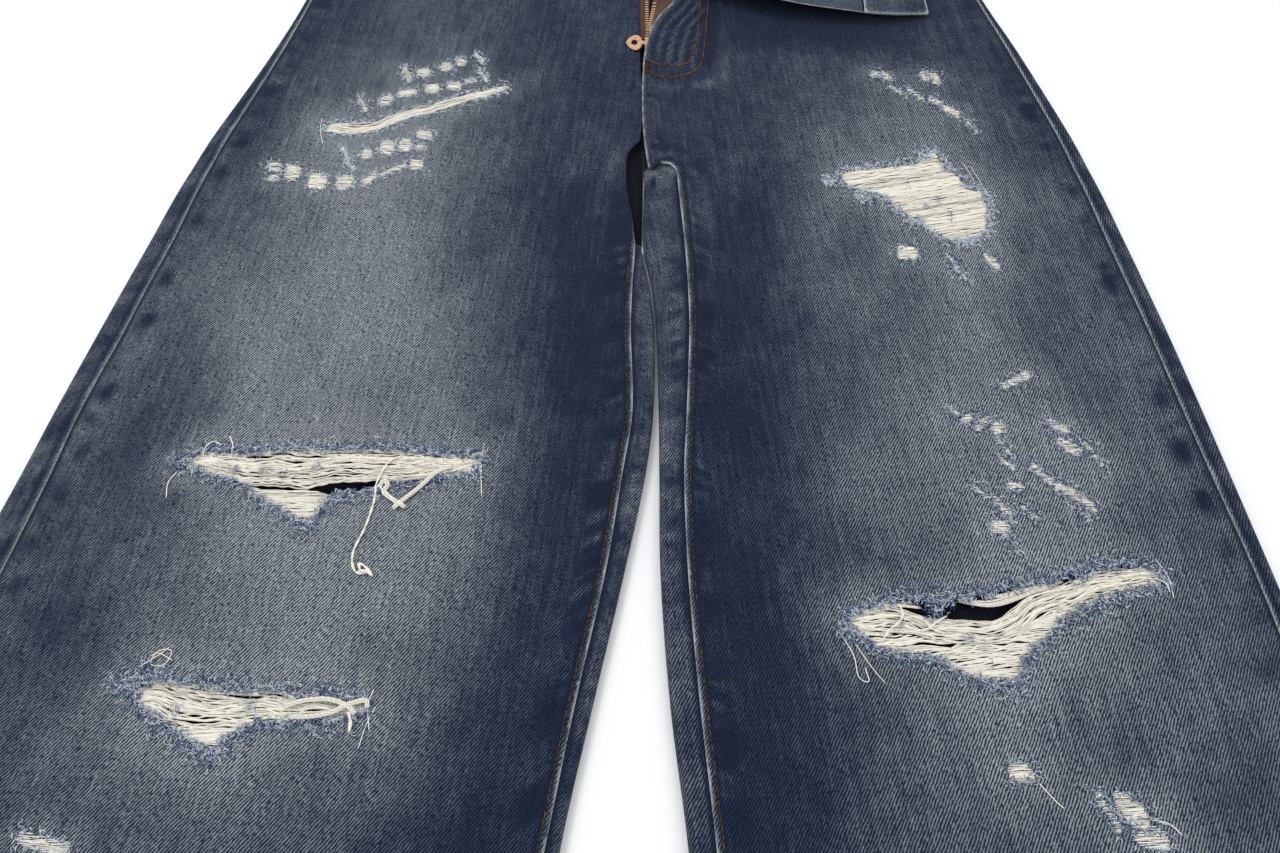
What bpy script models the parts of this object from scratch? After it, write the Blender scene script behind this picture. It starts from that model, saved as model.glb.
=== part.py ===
"""Ripped wide-leg jeans, lying flat with the front up, the fly open and one waist corner turned back.

Sizes are in millimetres and turned into metres where a mesh is made. X runs to the viewer's right
(the wearer's left), Y runs from the hems to the waist, Z is up. The plan tables count Y from the
crotch fold; CENTRE moves them so that the origin is the middle of the garment's box on the floor.
"right" and "left" in a name are the wearer's, so "right" is the leg at negative X.
"""

import math

import bmesh
import bpy
import numpy as np
from mathutils import Vector
from mathutils.geometry import delaunay_2d_cdt

MM = 0.001
CENTRE = (23.5, 223.9)

# Driving sizes of the garment
WALL = 1.4
SEAM_GAP = 0.3
HEM_Y = -760.0
CROTCH_Y = 8.0
FORK_END = {-1: -46.0, 1: 8.0}
WAIST_SEAM_Y = 268.0
BAND_TOP_Y = 310.0
FOLD_R = 2.9
SEAT_LIFT = 1.4
BAND_WALL = 2.0
RIP_DEPTH = 0.4
HEM_DEPTH = 14.0
HEM_RAISE = 0.7
GRID = 21.0
ARC_STEPS = 5
FLAT_STEPS = 5

# One row for each station up a leg: Y, side fold, side seam, inseam, inner fold
LEG_COLUMNS = ("y", "side_fold", "side_seam", "inseam", "inner_fold")
RIGHT_LEG = (
    (-760, -365, -349, -104, -93),
    (-550, -345, -329, -71, -61),
    (-355, -316, -300, -36, -30.5),
    (-300, -307, -291, -26.5, -19.5),
    (-240, -298, -281.5, -15, -7),
    (-190, -290, -275, -8, 2.5),
    (-155, -285, -271.5, -3.5, 6.5),
    (-105, -277, -263, -4.5, 7.4),
    (-75, -272, -258.5, -3.8, 5.0),
    (-46, -267, -253.5, -2.4, 0.7),
    (8, -257.5, -246, -2.4, 0.7),
    (110, -230, -223, -2.4, 0.7),
    (170, -217, -212, -2.4, 0.7),
    (268, -204, -199, -2.4, 0.7),
    (310, -201, -196, -2.4, 0.7),
)
LEFT_LEG = (
    (-760, 318, 304, 62, 52),
    (-550, 305, 292, 43, 35),
    (-355, 288.5, 277, 29, 18.5),
    (-300, 284, 274, 24.5, 12.5),
    (-240, 280, 271, 21, 9),
    (-190, 276.5, 266.5, 20.5, 9),
    (-155, 274, 263.5, 22.5, 9),
    (-105, 270, 259.5, 25, 8.2),
    (-75, 267, 256.5, 25, 6.0),
    (-46, 264, 253.5, 24, 1.6),
    (8, 257.5, 248, 21, 2.4),
    (110, 237, 230, 21, 2.4),
    (170, 222.5, 217.5, 21, 2.4),
    (268, 206, 201, 21, 2.4),
    (310, 202, 197, 21, 2.4),
)
# Stations up the back panels, from the hem to just under the yoke
BACK_ROWS = (
    -760, -746.2, -745.8, -690, -630, -570, -510, -450, -400, -355, -325, -300, -275, -250, -225,
    -200, -178, -155, -130, -105, -75, -46, -18, CROTCH_Y, 26, 45, 75, 110, 145, 175,
)
# Centre seams, front on top and back underneath, and the edges of the open fly: Y, X
CENTRE_FRONT = ((8, 5.2), (30, 2.6), (55, 1.2), (82, 1.0))
CENTRE_BACK = ((-46, 0.9), (8, 1.7), (110, 1.5), (268, 0), (310, 0))
FLY_EDGE_RIGHT = ((82, 0.6), (100, 0.3), (125, -0.4), (160, -1), (268, -2), (310, -2))
FLY_EDGE_LEFT = (
    (82, 1.2), (105, 2.6), (128, 6), (144, 12), (163, 22), (200, 14), (250, 1.5), (300, 1), (320, 3.5), (342, 9),
)
ZIP_LINE_LEFT = (
    (114, 9.5), (128, 10.5), (142, 12.5), (156, 15), (172, 20), (190, 27), (210, 30), (283, 26),
)

# The corner turned back: the roll starts at the fly edge and runs up to the side of the waist
ROLL_START = Vector((22.0, 163.0))
ROLL_ANGLE = math.radians(42.0)
ROLL_R = 7.0
ROLL_DROP = 0.03
ROLL_SAG = 0.0006
ROLL_ALONG = Vector((math.cos(ROLL_ANGLE), math.sin(ROLL_ANGLE)))
ROLL_OUT = Vector((-math.sin(ROLL_ANGLE), math.cos(ROLL_ANGLE)))
CORNER_Y = 342.0
BAND_DEPTH = BAND_TOP_Y - WAIST_SEAM_Y

# Soft ridges (+) and troughs (-) of the upper layer: two ends, half width, height
CREASE_COLUMNS = ("x0", "y0", "x1", "y1", "width", "height")
CREASES = (
    (14, 18, 30, -28, 9, 0.8),
    (30, -28, 34, -120, 10, 0.7),
    (-10, 26, -22, -20, 8, 0.8),
    (-22, -20, -40, -80, 16, 0.5),
    (-60, 60, -190, 96, 16, 0.5),
    (70, 20, 190, 60, 18, 0.5),
    (90, 70, 215, 92, 14, 0.4),
    (-120, -60, -250, -20, 26, -0.5),
    (60, -130, 235, -70, 26, -0.5),
    (-90, -225, -270, -240, 22, 0.5),
    (60, -200, 235, -185, 22, 0.5),
    (-70, -330, -250, -350, 24, 0.5),
    (60, -380, 240, -360, 26, 0.5),
    (-110, -470, -290, -440, 30, 0.6),
    (90, -520, 270, -490, 30, 0.5),
    (-130, -640, -330, -610, 34, -0.5),
    (90, -660, 290, -630, 34, 0.5),
)

# Worn-through places, a row for each station across: X, lower edge Y, upper edge Y
RIPS_RIGHT = {
    "thigh_slit": ((-172, 42, 50), (-142, 46, 54), (-110, 60, 66)),
    "upper": (
        (-214, -188, -182), (-198, -193, -176), (-180, -201, -177), (-163, -213, -177),
        (-146, -206, -176), (-124, -197, -176), (-100, -193, -178), (-77, -189, -180),
    ),
    "lower": (
        (-222, -296, -289), (-204, -302, -287), (-187, -312, -289), (-168, -320, -293),
        (-150, -308, -294), (-133, -306, -296), (-117, -303, -298),
    ),
}
RIPS_LEFT = {
    "thigh_patch": ((114, -1, 8), (134, -12, 12), (152, -28, 14), (168, -42, 20), (186, -34, -6)),
    "big": (
        (90, -266, -260), (106, -278, -254), (124, -281, -253), (140, -289, -252),
        (157, -291, -249), (173, -272, -245), (190, -259, -241), (208, -251, -237), (226, -248, -238),
    ),
    "small": ((146, -334, -326), (158, -334, -326)),
    "low_patch": ((178, -352, -338), (190, -356, -334), (202, -352, -336)),
}
# The one gap wider than 4 mm between the threads, and the hole beside the crotch seam
GAPS_LEFT = {"big": ((124, -261, -258.5), (134, -261, -256), (148, -261.5, -255), (162, -259, -256.5))}
CROTCH_HOLE = ((-38, -2.4), (-24, -4.5), (-8, -7), (10, -8), (24, -6.5), (34, 0))

POCKET_MOUTH_X = 118.0
POCKET_MOUTH_Y = 186.0
POCKET_WALL = 1.0
BACK_POCKET = (132.0, 142.0, 24.0)
BACK_POCKET_AT = (102.0, 200.0)
LOOP_SIZE = (11.0, 54.0, 1.1)
BUTTON_AT = (-10.0, 289.0)
TAPE_WIDTH = 11.0
TAPE_WALL = 0.6
TAPE_LOW_Y = 128.0
SHIELD_WALL = 1.0
SLIDER_TOP = 7.2
PULL_AXIS = (3.9, 120.0, 8.4)
EAR_YS = (116.4, 123.6)
YOKE_SIDE_Y = 222.0
YOKE_CENTRE_Y = 196.0


def clear_scene():
    for obj in list(bpy.data.objects):
        bpy.data.objects.remove(obj)


def make_material(name, colour, roughness, metallic=0.0):
    material = bpy.data.materials.new(name)
    material.use_nodes = True
    shader = material.node_tree.nodes["Principled BSDF"]
    shader.inputs["Base Color"].default_value = (*colour, 1)
    shader.inputs["Roughness"].default_value = roughness
    shader.inputs["Metallic"].default_value = metallic
    material.diffuse_color = (*colour, 1)
    return material


def smooth(t):
    t = min(max(t, 0.0), 1.0)
    return t * t * (3 - 2 * t)


def read(table, y, column=1):
    """The table's value at Y, on a smooth curve through its rows."""
    rows = sorted(table)
    ys = [row[0] for row in rows]
    values = [row[column] for row in rows]
    y = min(max(y, ys[0]), ys[-1])
    i = min(max(int(np.searchsorted(ys, y)) - 1, 0), len(ys) - 2)

    def slope(k):
        a, b = max(k - 1, 0), min(k + 1, len(ys) - 1)
        return (values[b] - values[a]) / (ys[b] - ys[a])

    step = ys[i + 1] - ys[i]
    t = (y - ys[i]) / step
    ends = (2 * t**3 - 3 * t**2 + 1) * values[i] + (3 * t**2 - 2 * t**3) * values[i + 1]
    return ends + step * ((t**3 - 2 * t**2 + t) * slope(i) + (t**3 - t**2) * slope(i + 1))


def leg(table, y, name):
    return read(table, y, LEG_COLUMNS.index(name))


def lift(y):
    """The seat is raised a little, because the back pockets and belt loops lie under it."""
    return SEAT_LIFT * smooth((y - 5) / 35)


def crease_height(x, y):
    total = 0.0
    for row in CREASES:
        c = dict(zip(CREASE_COLUMNS, row))
        run = Vector((c["x1"] - c["x0"], c["y1"] - c["y0"]))
        away = Vector((x - c["x0"], y - c["y0"]))
        t = min(max(away.dot(run) / run.length_squared, 0), 1)
        total += c["height"] * math.exp(-(((away - run * t).length / c["width"]) ** 2))
    return total


def top_height(x, y):
    """Outer height of the upper layer: level at the folds, slacker in the middle of each leg."""
    table = RIGHT_LEG if x < leg(RIGHT_LEG, y, "inner_fold") + 0.3 else LEFT_LEG
    outer = leg(table, y, "side_fold")
    inner = leg(table, y, "inner_fold") if y < CROTCH_Y else read(CENTRE_FRONT, y)
    inside = min(abs(x - outer), abs(x - inner))
    slack = smooth((inside - 12) / 40)
    z = 2 * FOLD_R + lift(y) + slack * (crease_height(x, y) - 0.6)
    z += (1 - slack) * max(crease_height(x, y), 0) * smooth((abs(x - outer) - 8) / 10) * 0.8
    if y < HEM_Y + HEM_DEPTH:
        z += HEM_RAISE
    return z


def fly_lift(x, y):
    """The left front stands up over the zip's slider beside its open edge."""
    edge = read(FLY_EDGE_LEFT, y)
    up = smooth((y - 84) / 16) * (1 - 0.2 * smooth((y - 120) / 40))
    return 4.6 * up * (1 - smooth((x - edge) / 34))


def front_left_height(x, y):
    return top_height(x, y) + fly_lift(x, y)


def turned_back(x, y, h):
    """A point of the left front, h above its outer face, taken round the roll where it is past it."""
    away = Vector((x, y)) - ROLL_START
    past = away.dot(ROLL_OUT)
    if past <= 0:
        return (x, y, front_left_height(x, y) + h)
    foot = ROLL_START + ROLL_ALONG * away.dot(ROLL_ALONG)
    z0 = front_left_height(foot.x, foot.y)
    turn = min(past / ROLL_R, math.pi)
    over = max(past - math.pi * ROLL_R, 0)
    out = (ROLL_R - h) * math.sin(turn) - over
    z = z0 + ROLL_R - (ROLL_R - h) * math.cos(turn) - ROLL_DROP * over - ROLL_SAG * over**2
    place = foot + ROLL_OUT * out
    return (place.x, place.y, z)


def to_row(p):
    return Vector(((p[0] + CENTRE[0]) * MM, (p[1] + CENTRE[1]) * MM, p[2] * MM))


def solid(name, outer, inner, faces, material):
    """One closed wall from matching outer and inner points and the faces that both share."""
    mesh = bpy.data.meshes.new(name)
    bm = bmesh.new()
    used = sorted({i for face in faces for i in face})
    top = {i: bm.verts.new(to_row(outer[i])) for i in used}
    low = {i: bm.verts.new(to_row(inner[i])) for i in used}
    sides = {}
    for face in faces:
        bm.faces.new([top[i] for i in face])
        bm.faces.new([low[i] for i in reversed(face)])
        for a, b in zip(face, (*face[1:], face[0])):
            sides[(a, b)] = True
    for a, b in sides:
        if (b, a) not in sides:
            bm.faces.new((top[b], top[a], low[a], low[b]))
    bmesh.ops.recalc_face_normals(bm, faces=bm.faces)
    bm.to_mesh(mesh)
    bm.free()
    obj = bpy.data.objects.new(name, mesh)
    bpy.context.collection.objects.link(obj)
    mesh.materials.append(material)
    mesh.shade_smooth()
    mesh.set_sharp_from_angle(angle=math.radians(40))
    return obj


def grid_faces(rows, columns, keep=lambda i, j: True):
    """Quads of a grid of points counted row by row."""
    return [
        (i * columns + j, i * columns + j + 1, (i + 1) * columns + j + 1, (i + 1) * columns + j)
        for i in range(rows - 1)
        for j in range(columns - 1)
        if keep(i, j)
    ]


def arc(centre_x, centre_z, radius, start, end, count):
    angles = np.radians(np.linspace(start, end, count))
    return [(centre_x + radius * math.cos(a), centre_z + radius * math.sin(a)) for a in angles]


def back_leg(name, table, side, material):
    """Back panel: underneath, round both folds, and on top as far as the two seams.

    side is -1 for the right leg and +1 for the left. Above the crotch only the outer fold is left."""
    crotch = FORK_END[side]
    leg_rows = [y for y in BACK_ROWS if y <= crotch]
    seat_rows = [y for y in BACK_ROWS if y > crotch]
    turn = 180 * side
    outer, inner = [], []
    for y in leg_rows + seat_rows + ["yoke"]:
        at_yoke = y == "yoke"
        level = YOKE_SIDE_Y if at_yoke else y
        fold = leg(table, level, "side_fold")
        seam = leg(table, level, "side_seam") + side * SEAM_GAP / 2
        base = lift(level)
        if level <= crotch:
            inner_fold = leg(table, level, "inner_fold")
            inseam = leg(table, level, "inseam") - side * SEAM_GAP / 2
        else:
            inner_fold = read(CENTRE_BACK, level) + side * SEAM_GAP / 2
            inseam = inner_fold
        in_mid = inner_fold + side * FOLD_R
        out_mid = fold - side * FOLD_R
        hem = HEM_RAISE if level < HEM_Y + HEM_DEPTH else 0.0
        start_top = [(inseam, 2 * FOLD_R + hem), ((inseam + in_mid) / 2, 2 * FOLD_R + hem)]
        end_top = [((seam + out_mid) / 2, 2 * FOLD_R + hem), (seam, 2 * FOLD_R + hem)]
        in_arc = arc(in_mid, FOLD_R, FOLD_R, 90, 90 + turn, ARC_STEPS)
        in_core = arc(in_mid, FOLD_R, FOLD_R - WALL, 90, 90 + turn, ARC_STEPS)
        out_arc = arc(out_mid, FOLD_R, FOLD_R, -90, -90 + turn, ARC_STEPS)
        out_core = arc(out_mid, FOLD_R, FOLD_R - WALL, -90, -90 + turn, ARC_STEPS)
        in_flat = in_mid if level <= crotch else inner_fold
        in_arc[-1] = (in_flat, 0.0)
        in_core[-1] = (in_flat, WALL)
        flats = np.linspace(in_flat, out_mid, FLAT_STEPS + 2)[1:-1]
        face = start_top + in_arc + [(x, 0.0) for x in flats] + out_arc + end_top
        back = [(x, z - hem - WALL) for x, z in start_top] + in_core
        back += [(x, WALL) for x in flats] + out_core + [(x, z - hem - WALL) for x, z in end_top]
        for (x, z), (u, v) in zip(face, back):
            py = level
            if at_yoke:
                py = yoke_seam_y(x, table) - SEAM_GAP / 2
            outer.append((x, py, z + base))
            inner.append((u, py, v + base))
    columns = 2 + ARC_STEPS + FLAT_STEPS + ARC_STEPS + 2
    rows = len(leg_rows) + len(seat_rows) + 1
    first_seat = len(leg_rows) - 1
    flat_from = 2 + ARC_STEPS - 1
    faces = grid_faces(rows, columns, lambda i, j: i < first_seat or j >= flat_from)
    return solid(name, outer, inner, faces, material)


def yoke_seam_y(x, table):
    """The yoke seam drops from the side to the centre of the back."""
    outer = abs(leg(table, YOKE_SIDE_Y, "side_fold"))
    return YOKE_CENTRE_Y + (YOKE_SIDE_Y - YOKE_CENTRE_Y) * min(abs(x) / outer, 1)


def yoke(name, table, side, material):
    """Back yoke, from the yoke seam to the waist seam, round the side to the side seam."""
    outer, inner = [], []
    shares = (0.0, 0.5, 1.0)
    turn = 180 * side
    for share in shares:
        level = YOKE_SIDE_Y + (WAIST_SEAM_Y - YOKE_SIDE_Y) * share
        base = lift(level)
        out_mid = leg(table, level, "side_fold") - side * FOLD_R
        seam = leg(table, level, "side_seam") + side * SEAM_GAP / 2
        start = read(CENTRE_BACK, level) + side * SEAM_GAP / 2
        flats = np.linspace(start, out_mid, FLAT_STEPS + 1)[:-1]
        face = [(x, 0.0) for x in flats]
        face += arc(out_mid, FOLD_R, FOLD_R, -90, -90 + turn, ARC_STEPS)
        face += [((seam + out_mid) / 2, 2 * FOLD_R), (seam, 2 * FOLD_R)]
        back = [(x, WALL) for x in flats]
        back += arc(out_mid, FOLD_R, FOLD_R - WALL, -90, -90 + turn, ARC_STEPS)
        back += [((seam + out_mid) / 2, 2 * FOLD_R - WALL), (seam, 2 * FOLD_R - WALL)]
        for (x, z), (u, v) in zip(face, back):
            low = yoke_seam_y(x, table) + SEAM_GAP / 2
            high = WAIST_SEAM_Y - SEAM_GAP / 2
            y = low + (high - low) * share
            outer.append((x, y, z + base))
            inner.append((u, y, v + base))
    columns = len(face)
    return solid(name, outer, inner, grid_faces(len(shares), columns), material)


def inside(point, outline):
    """Whether a point is inside a closed outline, by counting the edges to its right."""
    x, y = point
    crossings = 0
    for (ax, ay), (bx, by) in zip(outline, outline[1:] + outline[:1]):
        if (ay > y) != (by > y) and x < ax + (y - ay) / (by - ay) * (bx - ax):
            crossings += 1
    return crossings % 2 == 1


def near_outline(point, outline, distance):
    p = Vector(point)
    for a, b in zip(outline, outline[1:] + outline[:1]):
        a, b = Vector(a), Vector(b)
        t = min(max((p - a).dot(b - a) / max((b - a).length_squared, 1e-9), 0), 1)
        if (p - a.lerp(b, t)).length < distance:
            return True
    return False


def ring_of(rows):
    """Closed outline of a rip or gap from its stations across."""
    return [(x, low) for x, low, _ in rows] + [(x, high) for x, _, high in reversed(rows)]


def thread_points(rows, count):
    """Points in rows across a rip, for the bundles of white threads that bridge it."""
    points = []
    for x, low, high in rows[1:-1]:
        for k in range(1, count):
            points.append((x, low + (high - low) * k / count, k % 2))
    return points


def panel(name, outline, rips, gaps, place, material, bends=(), fine=GRID):
    """Flat panel cut to its outline, thinner and ridged in its rips, laid by place(x, y, h).

    bends are straight lines that the mesh follows, so that a roll across the panel comes out round."""
    points, edges = [], []

    def add_ring(ring):
        start = len(points)
        points.extend(Vector(p) for p in ring)
        edges.extend((start + k, start + (k + 1) % len(ring)) for k in range(len(ring)))

    add_ring(outline)
    rings = [ring_of(rows) for rows in rips.values()]
    holes = [ring_of(rows) for rows in gaps.values()]
    for ring in rings + holes:
        add_ring(ring)
    for line in bends:
        edges.extend((len(points) + k, len(points) + k + 1) for k in range(len(line) - 1))
        points.extend(line)
    ridges = {}
    for rows in rips.values():
        for x, y, odd in thread_points(rows, 4 if len(rows) > 3 else 2):
            if not any(inside((x, y), hole) or near_outline((x, y), hole, 1.2) for hole in holes):
                ridges[len(points)] = odd
                points.append(Vector((x, y)))
    xs = [p[0] for p in outline]
    ys = [p[1] for p in outline]
    row = 0
    y = min(ys) + fine * 0.6
    while y < max(ys):
        x = min(xs) + fine * (0.4 + 0.5 * (row % 2))
        while x < max(xs):
            clear = inside((x, y), outline) and not near_outline((x, y), outline, fine * 0.42)
            clear = clear and not any(near_outline((x, y), line, fine * 0.3) for line in bends)
            if clear and not any(
                inside((x, y), ring) or near_outline((x, y), ring, fine * 0.3) for ring in rings + holes
            ):
                points.append(Vector((x, y)))
            x += fine
        y += fine * 0.87 * (1.0 if y > -380 else 1.5)
        row += 1
    verts, _, triangles, origins, _, _ = delaunay_2d_cdt(points, edges, [], 0, 1e-4)
    flat = [(v.x, v.y) for v in verts]
    odd_at = {}
    for k, came_from in enumerate(origins):
        for source in came_from:
            if source in ridges:
                odd_at[k] = ridges[source]
    faces = []
    for tri in triangles:
        middle = tuple(sum(flat[i][k] for i in tri) / 3 for k in (0, 1))
        if inside(middle, outline) and not any(inside(middle, hole) for hole in holes):
            faces.append(tuple(tri))
    outer, inner = [], []
    for k, (x, y) in enumerate(flat):
        sunk = RIP_DEPTH * (1 - 0.55 * odd_at[k]) if k in odd_at else 0.0
        outer.append(place(x, y, -sunk))
        inner.append(place(x, y, -WALL))
    return solid(name, outer, inner, faces, material)


def steps_between(a, b, size):
    return [float(v) for v in np.linspace(a, b, max(2, round(abs(b - a) / size) + 1))]


def pocket_mouth(side, table):
    """The curved mouth of a front pocket, from the waist seam down to the side seam."""
    end_x = leg(table, POCKET_MOUTH_Y, "side_seam") - side * SEAM_GAP / 2
    wide = abs(end_x) - POCKET_MOUTH_X
    tall = WAIST_SEAM_Y - SEAM_GAP / 2 - POCKET_MOUTH_Y
    curve = []
    for k in range(7):
        a = math.radians(90 * k / 6)
        x = POCKET_MOUTH_X + wide * (1 - math.cos(a)) ** 0.85
        y = POCKET_MOUTH_Y + tall * (1 - math.sin(a)) ** 0.85
        curve.append((side * x, y))
    return curve


def front_right(material):
    side, table = -1, RIGHT_LEG
    up_the_side = steps_between(HEM_Y, POCKET_MOUTH_Y, 30)
    outline = [(leg(table, y, "side_seam") + SEAM_GAP / 2, y) for y in up_the_side[:-1]]
    outline += list(reversed(pocket_mouth(side, table)))
    down_the_fly = steps_between(WAIST_SEAM_Y - SEAM_GAP / 2, 96, 24)
    outline += [(read(FLY_EDGE_RIGHT, y), y) for y in down_the_fly]
    outline += [(read(CENTRE_FRONT, y) - SEAM_GAP / 2, y) for y in (82, 66, 50)]
    outline += [(x, y) for y, x in reversed(CROTCH_HOLE)]
    outline += [(leg(table, y, "inseam") - SEAM_GAP / 2, y) for y in steps_between(-46, HEM_Y, 26)]

    def laid(x, y, h):
        return (x, y, top_height(x, y) + h)

    return panel("front_leg_right", outline, RIPS_RIGHT, {}, laid, material)


def roll_bends(length):
    """Lines along the roll, spaced evenly round it."""
    bends = []
    for k in range(7):
        start = ROLL_START + ROLL_OUT * math.pi * ROLL_R * k / 6 - ROLL_ALONG * 20
        bends.append([start + ROLL_ALONG * t for t in steps_between(0, length, 22)])
    return bends


def front_left(material):
    side, table = 1, LEFT_LEG
    up_the_inseam = steps_between(HEM_Y, CROTCH_Y + SEAM_GAP, 26)
    outline = [(leg(table, y, "inseam") + SEAM_GAP / 2, y) for y in up_the_inseam]
    outline += [(14, 10.5), (9, 11)]
    outline += [(read(CENTRE_FRONT, y) + SEAM_GAP / 2, y) for y in (20, 36, 58, 82)]
    outline += [(read(FLY_EDGE_LEFT, y), y) for y in steps_between(92, CORNER_Y - BAND_DEPTH, 11)]
    outline += [waist_line(s, 0.0) for s in (35, 70)]
    outline += [(x, min(y, waist_y(x))) for x, y in pocket_mouth(side, table)]
    down_the_side = steps_between(POCKET_MOUTH_Y, HEM_Y, 30)
    outline += [(leg(table, y, "side_seam") - SEAM_GAP / 2, y) for y in down_the_side[1:]]
    return panel("front_leg_left", outline, RIPS_LEFT, GAPS_LEFT, turned_back, material, roll_bends(250))


def waist_y(x):
    """Waist seam of the left front before its corner is turned, rising to the fly."""
    t = min(max((x - 8) / 190, 0), 1)
    return CORNER_Y - BAND_DEPTH + (WAIST_SEAM_Y - CORNER_Y + BAND_DEPTH) * t


def waist_line(s, v):
    """A point s along the left front's waist seam from the fly, v above it."""
    start = read(FLY_EDGE_LEFT, CORNER_Y - BAND_DEPTH + v)
    x = start + (198 - start) * s / 190
    return (x, waist_y(x) + v)


def waistband(material):
    """One folded strip all round the waist, its left end turned back with the corner."""
    path = []
    low, high = WAIST_SEAM_Y + SEAM_GAP / 2, BAND_TOP_Y
    base = lift(WAIST_SEAM_Y)
    right = leg(RIGHT_LEG, 290, "side_fold")
    left = leg(LEFT_LEG, 290, "side_fold")

    def across(outer_point, inner_point):
        """One section of the strip, from its outer and inner point (x, z)."""
        path.append([(x, y, z) for x, z in (outer_point, inner_point) for y in (low, high)])

    def round_fold(middle, start):
        for k in (1, 2, 3):
            a = math.radians(start + 45 * k)
            ends = []
            for radius in (FOLD_R, FOLD_R - BAND_WALL):
                ends.append((middle + radius * math.cos(a), base + FOLD_R + radius * math.sin(a)))
            across(*ends)

    top = base + 2 * FOLD_R
    for x in steps_between(2, right + FOLD_R, 26):
        across((x, top), (x, top - BAND_WALL))
    round_fold(right + FOLD_R, 90)
    for x in steps_between(right + FOLD_R, left - FOLD_R, 34):
        across((x, base), (x, base + BAND_WALL))
    round_fold(left - FOLD_R, -90)
    turned_length, settle = 187, 25
    for s in steps_between(turned_length, 0, 6.5):
        share = smooth((turned_length - s) / settle)
        points = []
        for h in (0.0, -BAND_WALL):
            for v, flat_y in ((2 * SEAM_GAP, low), (BAND_DEPTH, high)):
                x, y = waist_line(s, v)
                points.append(turned_back(x, flat_y + (y - flat_y) * share, h))
        path.append(points)
    outer, inner = [], []
    for section in path:
        outer += section[:2]
        inner += section[2:]
    return solid("waistband", outer, inner, grid_faces(len(path), 2), material)


def slab(name, outline, z_low, z_high, material):
    """Flat piece with a plain outline."""
    outer = [(x, y, z_high) for x, y in outline]
    inner = [(x, y, z_low) for x, y in outline]
    return solid(name, outer, inner, [tuple(range(len(outline)))], material)


def box_outline(x0, x1, y0, y1):
    return [(x0, y0), (x1, y0), (x1, y1), (x0, y1)]


def strip(name, centre_line, width, place, low, high, material):
    """Narrow tape along a line of (x, y) points, laid by place(x, y, h)."""
    outer, inner = [], []
    line = [Vector(p) for p in centre_line]
    for k, p in enumerate(line):
        run = (line[min(k + 1, len(line) - 1)] - line[max(k - 1, 0)]).normalized()
        across = Vector((-run.y, run.x)) * width / 2
        for edge in (p - across, p + across):
            outer.append(place(edge.x, edge.y, high))
            inner.append(place(edge.x, edge.y, low))
    return solid(name, outer, inner, grid_faces(len(line), 2), material)


def pocket_facing(name, side, table, material):
    """The piece that shows behind the curved pocket mouth, sewn in at the waist and side seams."""
    mouth = [(x - side * 16, y - 15) for x, y in pocket_mouth(side, table)[1:-1]]
    side_x = leg(table, POCKET_MOUTH_Y, "side_seam") - side * 1.0
    waist_x = leg(table, WAIST_SEAM_Y, "side_seam") - side * 1.0
    outline = [(side * (POCKET_MOUTH_X - 16), WAIST_SEAM_Y - 0.6)] + mouth
    outline += [(side_x, POCKET_MOUTH_Y - 16), (waist_x, WAIST_SEAM_Y - 0.6)]
    z = SEAT_LIFT + 2 * FOLD_R - WALL - 0.9
    return slab(name, outline if side > 0 else outline[::-1], z - POCKET_WALL, z, material)


def back_pocket(name, side, material):
    wide, tall, point = BACK_POCKET
    x, y = side * BACK_POCKET_AT[0], BACK_POCKET_AT[1] - 12
    outline = [
        (x - wide / 2, y), (x - wide / 2 + 6, y - tall + point), (x, y - tall),
        (x + wide / 2 - 6, y - tall + point), (x + wide / 2, y),
    ]
    return slab(name, outline, 0.0, POCKET_WALL, material)


def belt_loop(name, x, above, material):
    wide, tall, thick = LOOP_SIZE
    low = WAIST_SEAM_Y - 6
    outline = box_outline(x - wide / 2, x + wide / 2, low, low + tall - 6)
    if above:
        z = lift(WAIST_SEAM_Y) + 2 * FOLD_R + SEAM_GAP
        return slab(name, outline, z, z + thick, material)
    return slab(name, outline, 0.0, thick, material)


def turned_loop(name, s, material):
    """The front left belt loop, on the band's outer face, which now looks down."""
    wide, tall, thick = LOOP_SIZE
    line = [waist_line(s, v) for v in np.linspace(-6, tall - 12, 5)]
    return strip(name, line, wide, turned_back, 2 * SEAM_GAP, 2 * SEAM_GAP + thick, material)


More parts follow.
